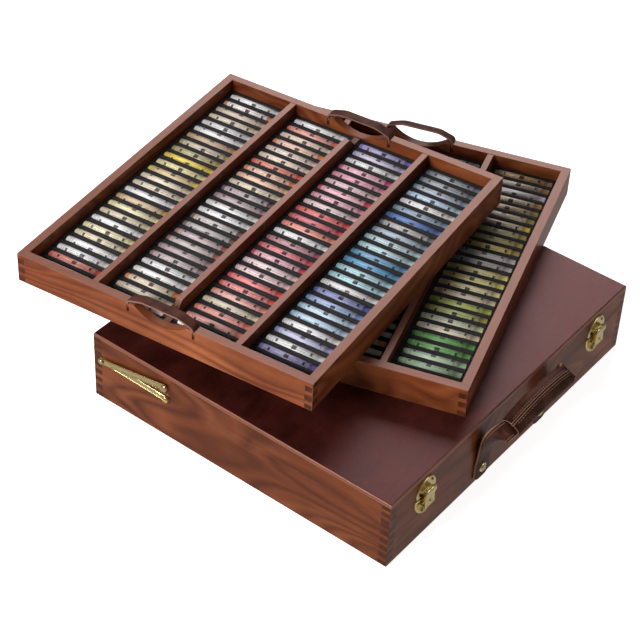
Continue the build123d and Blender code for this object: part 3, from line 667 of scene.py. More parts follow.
def foam_material():
    """Open-celled black foam with pale dust from the sticks."""
    material, tree, shader, place = new_material("foam_black")
    cells = noise(tree, place, 2600.0, 2.0, 0.7)
    dust = span(tree, noise(tree, place, 160.0, 4.0, 0.7), 0.52, 0.80)
    color = mix(tree, times(tree, dust, 0.30), FOAM_COLOR, FOAM_DUST)
    set_shader(tree, shader, {"Base Color": color, "Roughness": 0.95})
    add_bump(tree, shader, cells, 0.5, 0.0004)
    return material


foam_skin = foam_material()
for tray in TRAYS:
    make_foam(tray)

# ------------------------------------------------------------------ pastel sticks
# A stick is moulded chalk, rolled in a thin tinted paper sleeve that leaves both tips bare.
# The sleeve is marked with fine dark rings, three short dashes and two broken rules.
SLEEVE_START = 0.0044
SLEEVE_FOOT = 0.0090
BARE_RADIUS = 0.0047
TIP_RADIUS = 0.0037
TIP_ROUND = 0.0009
STICK_SIDES = 12
STICK_ROLL_FIRST = -1.1
STICK_ROLL_RANGE = 1.4
STICK_SHIFT = 0.0004
SLEEVE_EDGE = 0.0001
# Printed marks, by distance along the stick from its foot: (middle, half width) of the rings,
# (middle, half length, share of the turn, strength) of the dashes, and where the rules run.
SLEEVE_RINGS = ((0.0130, 0.0004), (0.0575, 0.0004), (0.0602, 0.0002))
SLEEVE_DASHES = ((0.0345, 0.0026, 0.080, 1.0), (0.0150, 0.0011, 0.06, 1.0),
                 (0.0540, 0.0013, 0.06, 0.95))
RULE_OFF_TOP = 0.035
RULE_HALF_WIDTH = 0.010
RULE_MIDDLE = 0.0350
RULE_HALF_LENGTH = 0.0160
CHALK_SPECK = (0.9, 0.9, 0.88)
INK = (0.012, 0.011, 0.014)
PAPER_PALE = 0.74
PIGMENT = {
    "white": (0.79, 0.80, 0.83), "cream": (0.74, 0.66, 0.50), "beige": (0.60, 0.50, 0.40),
    "tan": (0.50, 0.32, 0.17), "ochre": (0.58, 0.36, 0.08), "olive": (0.42, 0.37, 0.06),
    "yellow": (0.82, 0.66, 0.06), "lemon": (0.80, 0.74, 0.22), "pale_yellow": (0.80, 0.74, 0.40),
    "orange": (0.80, 0.30, 0.06), "vermilion": (0.75, 0.10, 0.03), "coral": (0.74, 0.20, 0.13),
    "peach": (0.80, 0.50, 0.34), "pale_peach": (0.80, 0.66, 0.56), "mauve": (0.36, 0.24, 0.28),
    "plum": (0.16, 0.05, 0.10), "grey": (0.38, 0.36, 0.36), "pale_grey": (0.58, 0.56, 0.56),
    "brown": (0.26, 0.12, 0.06), "rust": (0.42, 0.13, 0.07), "violet": (0.20, 0.16, 0.52),
    "lavender": (0.52, 0.48, 0.70), "magenta": (0.60, 0.05, 0.26), "pink": (0.78, 0.30, 0.44),
    "pale_pink": (0.80, 0.60, 0.64), "crimson": (0.66, 0.025, 0.09), "red": (0.78, 0.035, 0.04),
    "rose": (0.42, 0.07, 0.14), "salmon": (0.78, 0.30, 0.24), "slate": (0.16, 0.20, 0.28),
    "steel": (0.24, 0.36, 0.50), "sky": (0.44, 0.62, 0.80), "blue": (0.05, 0.18, 0.50),
    "royal": (0.03, 0.08, 0.42), "cyan": (0.03, 0.33, 0.60), "aqua": (0.44, 0.69, 0.78),
    "cornflower": (0.20, 0.34, 0.66), "periwinkle": (0.34, 0.36, 0.66), "lime": (0.44, 0.56, 0.08),
    "green": (0.10, 0.42, 0.06), "mint": (0.42, 0.66, 0.42), "pale_green": (0.62, 0.70, 0.46),
}
YELLOWS = """white orange+white beige cream white white ochre+tan olive+beige olive yellow
    pale_yellow yellow+ochre cream cream white ochre pale_yellow cream white pale_yellow cream white
    white vermilion+coral peach""".split()
CORALS = """white coral pale_peach orange+peach pale_peach pale_peach vermilion+coral orange+peach
    peach cream plum+mauve mauve white white brown+pale_grey brown+grey rust+mauve rust+grey mauve
    mauve white white orange+cream cream beige""".split()
PINKS = """violet lavender white magenta+pink pink pale_pink crimson+pink pink pale_pink red crimson
    salmon white rose crimson crimson+pink pale_pink pale_pink red vermilion+red salmon cream coral
    salmon white""".split()
BLUES = """slate slate steel sky white steel blue slate+grey steel aqua aqua cyan cyan aqua aqua
    white royal cornflower sky sky white periwinkle white violet blue""".split()
EARTHS = """tan+ochre ochre+cream white ochre+cream olive+ochre olive+cream yellow+cream olive olive
    olive+yellow pale_grey pale_grey lemon lemon pale_yellow cream lime olive+lime pale_green cream
    green green mint mint pale_green""".split()
ROWS = {"upper_tray": (YELLOWS, CORALS, PINKS, BLUES), "lower_tray": (BLUES, PINKS, CORALS, EARTHS)}


def stick_mesh():
    """One stick along Y: chalk core, stepped paper sleeve, rounded tips; UV runs along it."""
    half = STICK_LENGTH / 2
    rings = [(half, TIP_RADIUS), (half - TIP_ROUND, BARE_RADIUS), (half - SLEEVE_START, BARE_RADIUS),
             (half - SLEEVE_START, STICK_RADIUS), (SLEEVE_FOOT - half, STICK_RADIUS),
             (SLEEVE_FOOT - half, BARE_RADIUS), (TIP_ROUND - half, BARE_RADIUS), (-half, TIP_RADIUS)]
    shape = bmesh.new()
    layer = shape.loops.layers.uv.new("along")
    loops = []
    for y, radius in rings:
        loops.append([shape.verts.new((radius * cos(2 * pi * i / STICK_SIDES), y,
                                       radius * sin(2 * pi * i / STICK_SIDES)))
                      for i in range(STICK_SIDES)])
    for near, far in zip(loops, loops[1:]):
        for i in range(STICK_SIDES):
            j = (i + 1) % STICK_SIDES
            face = shape.faces.new((near[i], near[j], far[j], far[i]))
            face.smooth = True
            for loop, u in zip(face.loops, (i, i + 1, i + 1, i)):
                loop[layer].uv = (u / STICK_SIDES, loop.vert.co.y / STICK_LENGTH + 0.5)
    for loop_ring in (loops[0], loops[-1]):
        face = shape.faces.new(loop_ring if loop_ring is loops[-1] else loop_ring[::-1])
        for loop in face.loops:
            loop[layer].uv = (0.5, 1.0 if loop_ring is loops[0] else 0.0)
    bmesh.ops.recalc_face_normals(shape, faces=shape.faces)
    mesh = bpy.data.meshes.new("stick")
    shape.to_mesh(mesh)
    shape.free()
    return mesh


def copies_on_points(tree, pattern, points, turn, material):
    """A pattern on each point, made real and painted, as a tree's result."""
    source = tree.nodes.new("GeometryNodeObjectInfo")
    source.inputs["Object"].default_value = pattern
    spread = tree.nodes.new("GeometryNodeInstanceOnPoints")
    tree.links.new(points, spread.inputs["Points"])
    tree.links.new(source.outputs["Geometry"], spread.inputs["Instance"])
    tree.links.new(turn, spread.inputs["Rotation"])
    real = tree.nodes.new("GeometryNodeRealizeInstances")
    tree.links.new(spread.outputs[0], real.inputs[0])
    paint = tree.nodes.new("GeometryNodeSetMaterial")
    paint.inputs["Material"].default_value = material
    tree.links.new(real.outputs[0], paint.inputs["Geometry"])
    tree.links.new(paint.outputs[0], tree.nodes.new("NodeGroupOutput").inputs[0])
    return spread


def run_on_points(points, tree, socket, value):
    """Run a tree on a mesh of points, with one input set, and keep the result as a mesh."""
    holder = bpy.data.objects.new("points", points)
    bpy.context.scene.collection.objects.link(holder)
    copies = holder.modifiers.new("copies", "NODES")
    copies.node_group = tree
    copies[socket] = value
    view = bpy.context.evaluated_depsgraph_get()
    baked = bpy.data.meshes.new_from_object(holder.evaluated_get(view), preserve_all_data_layers=True,
                                            depsgraph=view)
    bpy.data.objects.remove(holder)
    return baked


def stick_row_tree(stick, material):
    """Geometry Nodes: one stick on each point of a row, each rolled by chance."""
    tree = bpy.data.node_groups.new("stick_row", "GeometryNodeTree")
    tree.interface.new_socket("Row", in_out="INPUT", socket_type="NodeSocketGeometry")
    roll = tree.interface.new_socket("Roll", in_out="INPUT", socket_type="NodeSocketFloat")
    roll.default_value = STICK_ROLL_RANGE
    seed = tree.interface.new_socket("Seed", in_out="INPUT", socket_type="NodeSocketInt")
    tree.interface.new_socket("Sticks", in_out="OUTPUT", socket_type="NodeSocketGeometry")
    given = tree.nodes.new("NodeGroupInput").outputs
    chance = tree.nodes.new("FunctionNodeRandomValue")
    chance.data_type = "FLOAT"
    tree.links.new(given["Seed"], chance.inputs["Seed"])
    spin = tree.nodes.new("ShaderNodeMath")
    spin.operation = "MULTIPLY_ADD"
    tree.links.new(chance.outputs[1], spin.inputs[0])
    tree.links.new(given["Roll"], spin.inputs[1])
    spin.inputs[2].default_value = STICK_ROLL_FIRST
    turn = tree.nodes.new("ShaderNodeCombineXYZ")
    tree.links.new(spin.outputs[0], turn.inputs["Y"])
    copies_on_points(tree, stick, given["Row"], turn.outputs[0], material)
    return tree, seed.identifier


def near_to(tree, value, spot, reach):
    """1 where a value lies within reach of a spot, else 0."""
    off = calc(tree, "ABSOLUTE", calc(tree, "SUBTRACT", value, spot))
    return calc(tree, "LESS_THAN", off, reach)


def chalk_material():
    """Bare pigment at the ends, a tinted paper sleeve between them."""
    material, tree, shader, place = new_material("chalk_in_sleeve")
    uv = tree.nodes.new("ShaderNodeUVMap")
    uv.uv_map = "along"
    around, along = axes(tree, uv.outputs["UV"])[:2]
    pigment = tree.nodes.new("ShaderNodeAttribute")
    pigment.attribute_name = "pigment"
    tint = tree.nodes.new("ShaderNodeAttribute")
    tint.attribute_name = "tint"
    length = times(tree, along, STICK_LENGTH)
    on_sleeve = times(tree, calc(tree, "GREATER_THAN", length, SLEEVE_FOOT - SLEEVE_EDGE),
                      calc(tree, "LESS_THAN", length, STICK_LENGTH - SLEEVE_START + SLEEVE_EDGE))
    speck = span(tree, noise(tree, place, 1400.0, 3.0, 0.6), 0.35, 0.75)
    chalk = mix(tree, times(tree, speck, 0.25), pigment.outputs["Color"], CHALK_SPECK)
    paper = mix(tree, times(tree, span(tree, noise(tree, place, 90.0, 3.0, 0.5), 0.3, 0.8), 0.2),
                tint.outputs["Color"], pigment.outputs["Color"])
    rings = None
    for spot, width in SLEEVE_RINGS:
        line = near_to(tree, length, spot, width)
        rings = line if rings is None else calc(tree, "MAXIMUM", rings, line)
    off_top = calc(tree, "ABSOLUTE", calc(tree, "SUBTRACT", around, 0.25))
    dashes = None
    for spot, reach, width, strength in SLEEVE_DASHES:
        near = near_to(tree, length, spot, reach)
        band = calc(tree, "LESS_THAN", off_top, width)
        dash = times(tree, times(tree, near, band), strength)
        dashes = dash if dashes is None else calc(tree, "MAXIMUM", dashes, dash)
    dashes = times(tree, dashes, span(tree, noise(tree, place, 900.0, 2.0, 0.6), 0.15, 0.40))
    rule = near_to(tree, off_top, RULE_OFF_TOP, RULE_HALF_WIDTH)
    printed = near_to(tree, length, RULE_MIDDLE, RULE_HALF_LENGTH)
    broken = span(tree, noise(tree, place, 700.0, 1.0, 0.5), 0.42, 0.50)
    rules = times(tree, times(tree, rule, printed), times(tree, broken, 0.75))
    marks = calc(tree, "MAXIMUM", times(tree, rings, 0.5), calc(tree, "MAXIMUM", dashes, rules))
    ink = mix(tree, 0.93, pigment.outputs["Color"], INK)
    paper = mix(tree, marks, paper, ink)
    rough = calc(tree, "SUBTRACT", 0.92, times(tree, on_sleeve, 0.5))
    set_shader(tree, shader, {"Base Color": mix(tree, on_sleeve, chalk, paper), "Roughness": rough,
                              "Coat Weight": times(tree, on_sleeve, 0.16), "Coat Roughness": 0.26})
    add_bump(tree, shader, noise(tree, place, 1800.0, 3.0, 0.6), 0.25, 0.0002)
    return material


chalk = chalk_material()
stick = bpy.data.objects.new("stick_pattern", stick_mesh())
bpy.context.scene.collection.objects.link(stick)
row_tree, seed_socket = stick_row_tree(stick, chalk)


def make_row(tray, column, names):
    """One column of sticks in its grooves."""
    low, high = tray_box(tray, f"{tray}_sticks_column_{column}")
    pitch = (high.x - low.x - 2 * STICK_RADIUS) / (STICKS_IN_ROW - 1)
    dice = random.Random(100 * TRAYS.index(tray) + column)
    mesh = bpy.data.meshes.new("row")
    middle = (low + high) / 2
    places = []
    for i in range(STICKS_IN_ROW):
        shift = dice.uniform(-STICK_SHIFT, STICK_SHIFT)
        places.append((high.x - STICK_RADIUS - i * pitch, middle.y + shift, middle.z))
    mesh.from_pydata(places, [], [])
    pigment = mesh.attributes.new("pigment", "FLOAT_COLOR", "POINT")
    tint = mesh.attributes.new("tint", "FLOAT_COLOR", "POINT")
    for i, name in enumerate(names):
        core, _, sleeve = name.partition("+")
        core_color = PIGMENT[core]
        sleeve_color = PIGMENT[sleeve or core]
        paleness = dice.uniform(0.20, 0.45) if sleeve else dice.uniform(0.12, 0.48)
        shade = dice.uniform(0.90, 1.06)
        pigment.data[i].color = (*(v ** 1.3 for v in core_color), 1.0)
        paper_color = [(v ** 1.15 * (1 - paleness) + PAPER_PALE * paleness) * shade for v in sleeve_color]
        tint.data[i].color = (*paper_color, 1.0)
    baked = run_on_points(mesh, row_tree, seed_socket, 7 * column + TRAYS.index(tray))
    baked.transform(to_tray(tray))
    piece = bpy.data.objects.new(f"{tray}_pastels_{column}", baked)
    bpy.context.scene.collection.objects.link(piece)
    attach(piece, tray)
    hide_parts(f"{tray}_sticks_column_{column}")


for tray in TRAYS:
    for column, names in enumerate(ROWS[tray], start=1):
        make_row(tray, column, names)
bpy.data.objects.remove(stick)

# ------------------------------------------------------------------ tray straps
# A lifting strap at each end of a tray is one band of brown bridle leather with a paler cut
# edge, which also carries a painted highlight, bent over like a staple. Its two eyes turn on
# brass pins in slots of the end wall.
STRAP_HALF_SPAN = 0.038
STRAP_HALF_THICK = 0.0011
STRAP_HALF_WIDTH = 0.006
STRAP_FOOT_HALF = 0.004
STRAP_SHOULDER = 0.005
STRAP_KNEE = 0.0092
STRAP_TOP = 0.0145
STRAP_HALF_FLAT = 0.021
STRAP_EYE = 0.0013
STRAP_LEAN = {("lower_tray", "front"): -86.0, ("lower_tray", "back"): 12.0,
              ("upper_tray", "front"): 0.0, ("upper_tray", "back"): 0.0}
STRAP_CORNER = 0.0034
STRAP_FOOT_RISE = 0.0014
SHOULDER_STEP = 0.0002
STRAP_EDGE_ROUND = 0.0009
EYE_SHARE = 0.97
EYE_TRIM = 0.0001
PIN_PLAY = 0.00005
LEATHER_SHEEN = (1.0, 0.72, 0.62)
STRAP_FACE = (0.100, 0.034, 0.024)
STRAP_DEEP = (0.034, 0.012, 0.009)
# Paler cut edge of the strap leather, which also carries a painted highlight where light would catch it.
STRAP_EDGE_AND_HIGHLIGHT = (0.20, 0.11, 0.085)


def leather_material(name, face, deep, edge_color, roughness, gloss):
    """Dyed leather: pebbled face, darker clouds, and a paler cut edge with a painted highlight where its
    vertex attribute is 1.
    """
    material, tree, shader, place = new_material(name)
    pebble = tree.nodes.new("ShaderNodeTexVoronoi")
    pebble.inputs["Scale"].default_value = 950.0
    tree.links.new(place, pebble.inputs["Vector"])
    clouds = noise(tree, place, 70.0, 4.0, 0.6)
    color = mix(tree, span(tree, clouds, 0.36, 0.68), deep, face)
    worn = span(tree, noise(tree, place, 240.0, 3.0, 0.7), 0.60, 0.78)
    color = mix(tree, times(tree, worn, 0.25), color, scaled(face, 2.2))
    edge = tree.nodes.new("ShaderNodeAttribute")
    edge.attribute_name = "edge"
    fibres = noise(tree, place, 900.0, 2.0, 0.6)
    # The cut edge is painted paler: partly the leather's own edge, partly a painted highlight.
    cut = span(tree, plus(tree, edge.outputs["Fac"], times(tree, fibres, 0.3)), 0.62, 0.95)
    color = mix(tree, times(tree, cut, 0.85), color, edge_color)
    rough = plus(tree, times(tree, clouds, 0.18), roughness)
    set_shader(tree, shader, {"Base Color": color, "Roughness": rough, "Specular IOR Level": gloss,
                              "Specular Tint": LEATHER_SHEEN})
    height = plus(tree, times(tree, pebble.outputs["Distance"], 0.7), times(tree, clouds, 0.8))
    add_bump(tree, shader, height, 0.35, 0.0002)
    return material


def skin_rings(shape, rings, closed=False):
    """Faces from ring to ring, with a cap on each end or the last ring joined to the first."""
    pairs = list(zip(rings, rings[1:]))
    if closed:
        pairs.append((rings[-1], rings[0]))
    for near, far in pairs:
        for i in range(len(near)):
            j = (i + 1) % len(near)
            shape.faces.new((near[i], near[j], far[j], far[i]))
    if not closed:
        shape.faces.new(rings[0][::-1])
        shape.faces.new(rings[-1])


def add_band(shape, stations, edge_round):
    """A flat leather band; a station is (centre, wide, normal, half width, half thickness)."""
    edge = shape.verts.layers.float.get("edge") or shape.verts.layers.float.new("edge")
    rings = []
    for centre, wide, normal, half, thick in stations:
        lip = min(edge_round, half * 0.5)
        # The last number of each point marks the cut edge, painted paler, partly as a painted highlight.
        side = [(half * 0.5, 1.0, 0.0), (half - lip, 1.0, 0.0), (half - lip * 0.35, 0.78, 0.9),
                (half, 0.3, 1.0), (half, -0.3, 1.0), (half - lip * 0.35, -0.78, 0.9),
                (half - lip, -1.0, 0.0), (half * 0.5, -1.0, 0.0)]
        ring = []
        for x, level, cut in side + [(-x, level, cut) for x, level, cut in reversed(side)]:
            vert = shape.verts.new(centre + wide * x + normal * (level * thick))
            vert[edge] = cut
            ring.append(vert)
        rings.append(ring)
    skin_rings(shape, rings)


def revolve(shape, profile, matrix, sides=20, closed=False):
    """A turned form about Z from (radius, height) points, set by a matrix."""
    rings = []
    for radius, height in profile:
        rings.append([shape.verts.new(matrix @ Vector((radius * cos(2 * pi * i / sides),
                                                       radius * sin(2 * pi * i / sides), height)))
                      for i in range(sides)])
    skin_rings(shape, rings, closed)


def rounded_path(corners, reach, steps=5):
    """Points along straight runs whose corners are rounded over a reach."""
    points = [corners[0]]
    for before, corner, after in zip(corners, corners[1:], corners[2:]):
        start = corner + (before - corner).normalized() * reach
        end = corner + (after - corner).normalized() * reach
        for step in range(steps + 1):
            t = step / steps
            points.append(start * (1 - t) ** 2 + corner * 2 * t * (1 - t) + end * t * t)
    return points + [corners[-1]]


def strap_stations():
    """The band from one foot over to the other, in (across, along, above the pins)."""
    half = STRAP_HALF_SPAN
    leg = [STRAP_FOOT_RISE, STRAP_SHOULDER - SHOULDER_STEP, STRAP_SHOULDER + SHOULDER_STEP]
    corners = [Vector((0, -half, leg[2])), Vector((0, -half, STRAP_KNEE)),
               Vector((0, -STRAP_HALF_FLAT, STRAP_TOP)), Vector((0, STRAP_HALF_FLAT, STRAP_TOP)),
               Vector((0, half, STRAP_KNEE)), Vector((0, half, leg[2]))]
    middle = rounded_path(corners, STRAP_CORNER)
    points = ([Vector((0, -half, z)) for z in leg[:2]] + middle
              + [Vector((0, half, z)) for z in reversed(leg[:2])])
    stations = []
    wide = Vector((1, 0, 0))
    for i, point in enumerate(points):
        along = (points[min(i + 1, len(points) - 1)] - points[max(i - 1, 0)]).normalized()
        width = STRAP_FOOT_HALF if i < 2 or i > len(points) - 3 else STRAP_HALF_WIDTH
        stations.append((point, wide, wide.cross(along), width, STRAP_HALF_THICK))
    return stations


strap_leather = leather_material("strap_leather", STRAP_FACE, STRAP_DEEP, STRAP_EDGE_AND_HIGHLIGHT, 0.40, 0.14)


def make_strap(tray, end, side):
    """One lifting strap, leaning outward by its angle."""
    low, high = tray_box(tray, f"{tray}_strap_pins")
    shape = bmesh.new()
    add_band(shape, strap_stations(), STRAP_EDGE_ROUND)
    for way in (-1, 1):
        foot = Matrix.Translation((0, way * STRAP_HALF_SPAN, 0)) @ Matrix.Rotation(pi / 2, 4, "X")
        thick = STRAP_HALF_THICK * EYE_SHARE
        rim = STRAP_FOOT_HALF - EYE_TRIM
        profile = [(STRAP_EYE, -thick), (rim, -thick), (rim, thick), (STRAP_EYE, thick)]
        revolve(shape, profile, foot, 24, True)
    pins = (side * (high.x - low.x) / 2 - side * STRAP_EYE + side * PIN_PLAY, 0, (low.z + high.z) / 2)
    lean = Matrix.Rotation(radians(side * STRAP_LEAN[tray, end]), 4, "Y")
    shape.transform(to_tray(tray) @ Matrix.Translation(pins) @ lean)
    strap = new_piece(f"{tray}_{end}_lifting_strap", shape, strap_leather, True)
    body = "lower_tray" if (tray, end) == ("lower_tray", "front") else f"{tray[:5]}_{end}_strap"
    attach(strap, body)
    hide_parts(f"{tray}_{end}_strap")


for tray in TRAYS:
    make_strap(tray, "front", -1)
    make_strap(tray, "back", 1)

# ------------------------------------------------------------------ carrying handle
# A rolled grip, wrapped in leather that meets in a raised, sewn seam along its top, hangs
# on two straps. Each strap runs on down over its fold and is screwed flat to the front.
HANDLE_X = 0.052
HANDLE_TAB_BOTTOM = 0.003
HANDLE_TAB_ROUND = 0.008
HANDLE_FOLD_Z = 0.030
HANDLE_FOLD_OUT = 0.0019
HANDLE_HALF_WIDTH = 0.013
HANDLE_HALF_THICK = 0.00125
HANDLE_END_HALF_WIDTH = 0.0095
HANDLE_END_HALF_THICK = 0.0025
HANDLE_PULL_UP = Vector((0, -0.004, 0.0322))
HANDLE_PULL_SIDE = Vector((-0.016, 0.002, -0.002))
GRIP_HALF_LENGTH = 0.050
GRIP_OUT = 0.0258
GRIP_END_Z = 0.082
GRIP_RISE = 0.0045
GRIP_TILT = radians(20)
GRIP_HALF_WIDE = 0.012
GRIP_HALF_THICK = 0.0085
GRIP_TAPER_WIDE = 0.001
GRIP_TAPER_THICK = 0.0025
# (across, above the leather, cut edge) of the seam's lips, and (x, inset, cut edge) of the
# rings that close the grip's end. The cut edge value paints these paler, partly as a painted
# highlight along the seam and the ends.
GRIP_SEAM = ((0.0, -0.0012, 0.3), (0.0007, -0.0010, 0.8), (0.0008, 0.0004, 1.0),
             (0.0014, 0.0005, 0.9), (0.0020, 0.0001, 0.1))
GRIP_SEAM_ANGLE = 0.24
GRIP_SQUARENESS = 0.9
GRIP_END = ((-0.0480, 0.0022, 0.2), (-0.0497, 0.0016, 1.0), (-0.0500, 0.0008, 1.0))
GRIP_STEP = 0.0046
HANDLE_TAB_LEVELS = (0.0, 0.0003, 0.001, 0.0022, 0.004, 0.006, 0.008, 0.012, 0.018, 0.0235)
HANDLE_STEPS = 24
SEWN_STATIONS = slice(13, -2)
HANDLE_EDGE_ROUND = 0.0008
STITCHES = 26
STITCH_START = -0.0455
STITCH_PITCH = 0.0036
STITCH_OFF_SEAM = 0.0034
STITCH_OFF_EDGE = 0.0024
STITCH_TILT = 0.2
STITCH_RINGS = ((-0.00125, 0.00018, -0.0003), (-0.0009, 0.00036, 0.0),
                (0.0009, 0.00036, 0.0), (0.00125, 0.00018, -0.0003))
HANDLE_FACE = (0.072, 0.026, 0.017)
HANDLE_DEEP = (0.022, 0.0070, 0.0050)
# Paler cut edge of the handle leather, which also carries a painted highlight.
HANDLE_EDGE_AND_HIGHLIGHT = (0.24, 0.135, 0.085)
THREAD_DARK = (0.10, 0.050, 0.032)
THREAD_LIGHT = (0.26, 0.155, 0.105)
front_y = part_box("base_front_wall")[0].y
grip_wide = Vector((0, -cos(GRIP_TILT), -sin(GRIP_TILT)))
grip_thick = Vector((0, -sin(GRIP_TILT), cos(GRIP_TILT)))
handle_leather = leather_material("handle_leather", HANDLE_FACE, HANDLE_DEEP, HANDLE_EDGE_AND_HIGHLIGHT, 0.32, 0.07)


def handle_stations():
    """The left strap from its tab's foot, over the fold and up into the grip."""
    across = Vector((1, 0, 0))
    stations = []
    for z in HANDLE_TAB_LEVELS:
        cut = HANDLE_TAB_ROUND - min(z, HANDLE_TAB_ROUND)
        half = HANDLE_HALF_WIDTH - HANDLE_TAB_ROUND + sqrt(HANDLE_TAB_ROUND ** 2 - cut ** 2)
        stations.append((Vector((-HANDLE_X, front_y - HANDLE_HALF_THICK, HANDLE_TAB_BOTTOM + z)),
                         across, Vector((0, 1, 0)), half, HANDLE_HALF_THICK))
    start = Vector((-HANDLE_X, front_y - HANDLE_FOLD_OUT, HANDLE_FOLD_Z))
    end = Vector((-GRIP_HALF_LENGTH, front_y - GRIP_OUT, GRIP_END_Z))
    pull_up = start + HANDLE_PULL_UP
    pull_side = end + HANDLE_PULL_SIDE
    for index in range(HANDLE_STEPS + 1):
        t = index / HANDLE_STEPS
        centre = (start * (1 - t) ** 3 + pull_up * 3 * t * (1 - t) ** 2
                  + pull_side * 3 * t * t * (1 - t) + end * t ** 3)
        along = ((pull_up - start) * (1 - t) ** 2 + (pull_side - pull_up) * 2 * t * (1 - t)
                 + (end - pull_side) * t * t).normalized()
        turn = t * t * (3 - 2 * t)
        wide = across * (1 - turn) + grip_wide * turn
        wide = (wide - along * wide.dot(along)).normalized()
        half = HANDLE_HALF_WIDTH + (HANDLE_END_HALF_WIDTH - HANDLE_HALF_WIDTH) * turn
        thick = HANDLE_HALF_THICK + (HANDLE_END_HALF_THICK - HANDLE_HALF_THICK) * turn
        stations.append((centre, wide, along.cross(wide), half, thick))
    last = stations[-1]
    stations.append((last[0] + Vector((0.004, 0, 0.0003)), *last[1:]))
    return stations


def mirrored(stations):
    """The right strap's stations."""
    flip = Matrix.Scale(-1, 3, (1, 0, 0))
    return [(flip @ centre, -(flip @ wide), flip @ normal, half, thick)
            for centre, wide, normal, half, thick in stations]


shape = bmesh.new()
add_band(shape, handle_stations(), HANDLE_EDGE_ROUND)
add_band(shape, mirrored(handle_stations()), HANDLE_EDGE_ROUND)
straps = new_piece("handle_strap_leather", shape, handle_leather, True)
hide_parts("handle_straps", "handle_tabs")
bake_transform(straps)


def grip_place(x):
    """Centre and half sizes of the grip at x."""
    share = x / GRIP_HALF_LENGTH
    centre = Vector((x, front_y - GRIP_OUT, GRIP_END_Z + GRIP_RISE * (1 - share ** 2)))
    return (centre, GRIP_HALF_WIDE - GRIP_TAPER_WIDE * share ** 2,
            GRIP_HALF_THICK - GRIP_TAPER_THICK * share ** 2)


def grip_ring(x, inset):
    """Points round the grip at x with the seam's two lips, and how much each is a cut edge with a painted
    highlight.
    """
    centre, wide, thick = grip_place(x)
    wide, thick = wide - inset, thick - inset
    ring = [(across, thick + rise, cut) for across, rise, cut in GRIP_SEAM]
    for step in range(1, 15):
        angle = GRIP_SEAM_ANGLE + (pi - GRIP_SEAM_ANGLE) * step / 15
        upward = 1 if angle < pi / 2 else -1
        ring.append((wide * abs(sin(angle)) ** GRIP_SQUARENESS,
                     thick * upward * abs(cos(angle)) ** GRIP_SQUARENESS, 0.0))
    ring.append((0.0, -thick, 0.0))
    ring += [(-a, b, cut) for a, b, cut in reversed(ring[1:-1])]
    return [(centre + grip_wide * a + grip_thick * b, cut) for a, b, cut in ring]


shape = bmesh.new()
edge = shape.verts.layers.float.new("edge")
rings = []
xs = [-0.0496, -0.0488] + [-0.046 + GRIP_STEP * i for i in range(21)] + [0.0488, 0.0496]
spots = list(GRIP_END)
spots += [(x, 0.0002 if abs(x) > 0.0494 else 0.0, 0.0) for x in xs]
spots += [(-x, inset, cut) for x, inset, cut in reversed(GRIP_END)]
for x, inset, cut in spots:
    ring = []
    for point, lip in grip_ring(x, inset):
        vert = shape.verts.new(point)
        # Cut edges are painted paler, partly as a painted highlight on the seam and the grip's ends.
        vert[edge] = max(lip, cut)
        ring.append(vert)
    rings.append(ring)
skin_rings(shape, rings)
grip = new_piece("handle_rolled_grip", shape, handle_leather, True)
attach(grip, "carry_handle")
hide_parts("handle_grip")


def copies_tree(name, pattern, material):
    """Geometry Nodes: a pattern on every point, turned and sized by the point."""
    tree = bpy.data.node_groups.new(name, "GeometryNodeTree")
    tree.interface.new_socket("Places", in_out="INPUT", socket_type="NodeSocketGeometry")
    scale = tree.interface.new_socket("Scale", in_out="INPUT", socket_type="NodeSocketFloat")
    scale.default_value = 1.0
    tree.interface.new_socket("Copies", in_out="OUTPUT", socket_type="NodeSocketGeometry")
    given = tree.nodes.new("NodeGroupInput").outputs
    turn = tree.nodes.new("GeometryNodeInputNamedAttribute")
    turn.data_type = "FLOAT_VECTOR"
    turn.inputs["Name"].default_value = "turn"
    size = tree.nodes.new("GeometryNodeInputNamedAttribute")
    size.data_type = "FLOAT_VECTOR"
    size.inputs["Name"].default_value = "size"
    grow = tree.nodes.new("ShaderNodeVectorMath")
    grow.operation = "SCALE"
    tree.links.new(size.outputs["Attribute"], grow.inputs[0])
    tree.links.new(given["Scale"], grow.inputs["Scale"])
    spread = copies_on_points(tree, pattern, given["Places"], turn.outputs["Attribute"], material)
    tree.links.new(grow.outputs[0], spread.inputs["Scale"])
    return tree, scale.identifier


def bake_copies(name, places, tree, scale_socket):
    """Run a copies tree on (place, turn, size) points and keep the result as a plain mesh."""
    mesh = bpy.data.meshes.new("places")
    mesh.from_pydata([place for place, _, _ in places], [], [])
    turns = mesh.attributes.new("turn", "FLOAT_VECTOR", "POINT")
    sizes = mesh.attributes.new("size", "FLOAT_VECTOR", "POINT")
    for i, (_, turn, size) in enumerate(places):
        turns.data[i].vector = turn
        sizes.data[i].vector = size
    piece = bpy.data.objects.new(name, run_on_points(mesh, tree, scale_socket, 1.0))
    bpy.context.scene.collection.objects.link(piece)
    return piece


def thread_material():
    """Waxed brown linen thread, twisted."""
    material, tree, shader, place = new_material("thread_brown")
    twist = tree.nodes.new("ShaderNodeTexWave")
    twist.bands_direction = "DIAGONAL"
    twist.inputs["Scale"].default_value = 700.0
    tree.links.new(place, twist.inputs["Vector"])
    color = mix(tree, twist.outputs["Fac"], THREAD_DARK, THREAD_LIGHT)
    set_shader(tree, shader, {"Base Color": color, "Roughness": 0.6})
    return material


def stitch_pattern():
    """One stitch along X, its ends sunk: six sides, four rings."""
    shape = bmesh.new()
    rings = []
    for x, radius, sink in STITCH_RINGS:
        rings.append([shape.verts.new((x, radius * cos(pi * i / 3), sink + radius * sin(pi * i / 3)))
                      for i in range(6)])
    skin_rings(shape, rings)
    return new_piece("stitch_pattern", shape, thread, True)


def facing(along, up):
    """Euler angles that turn X along a line and Z up out of a surface."""
    along = along.normalized()
    side = up.cross(along).normalized()
    return tuple(Matrix((along, side, along.cross(side))).transposed().to_euler())


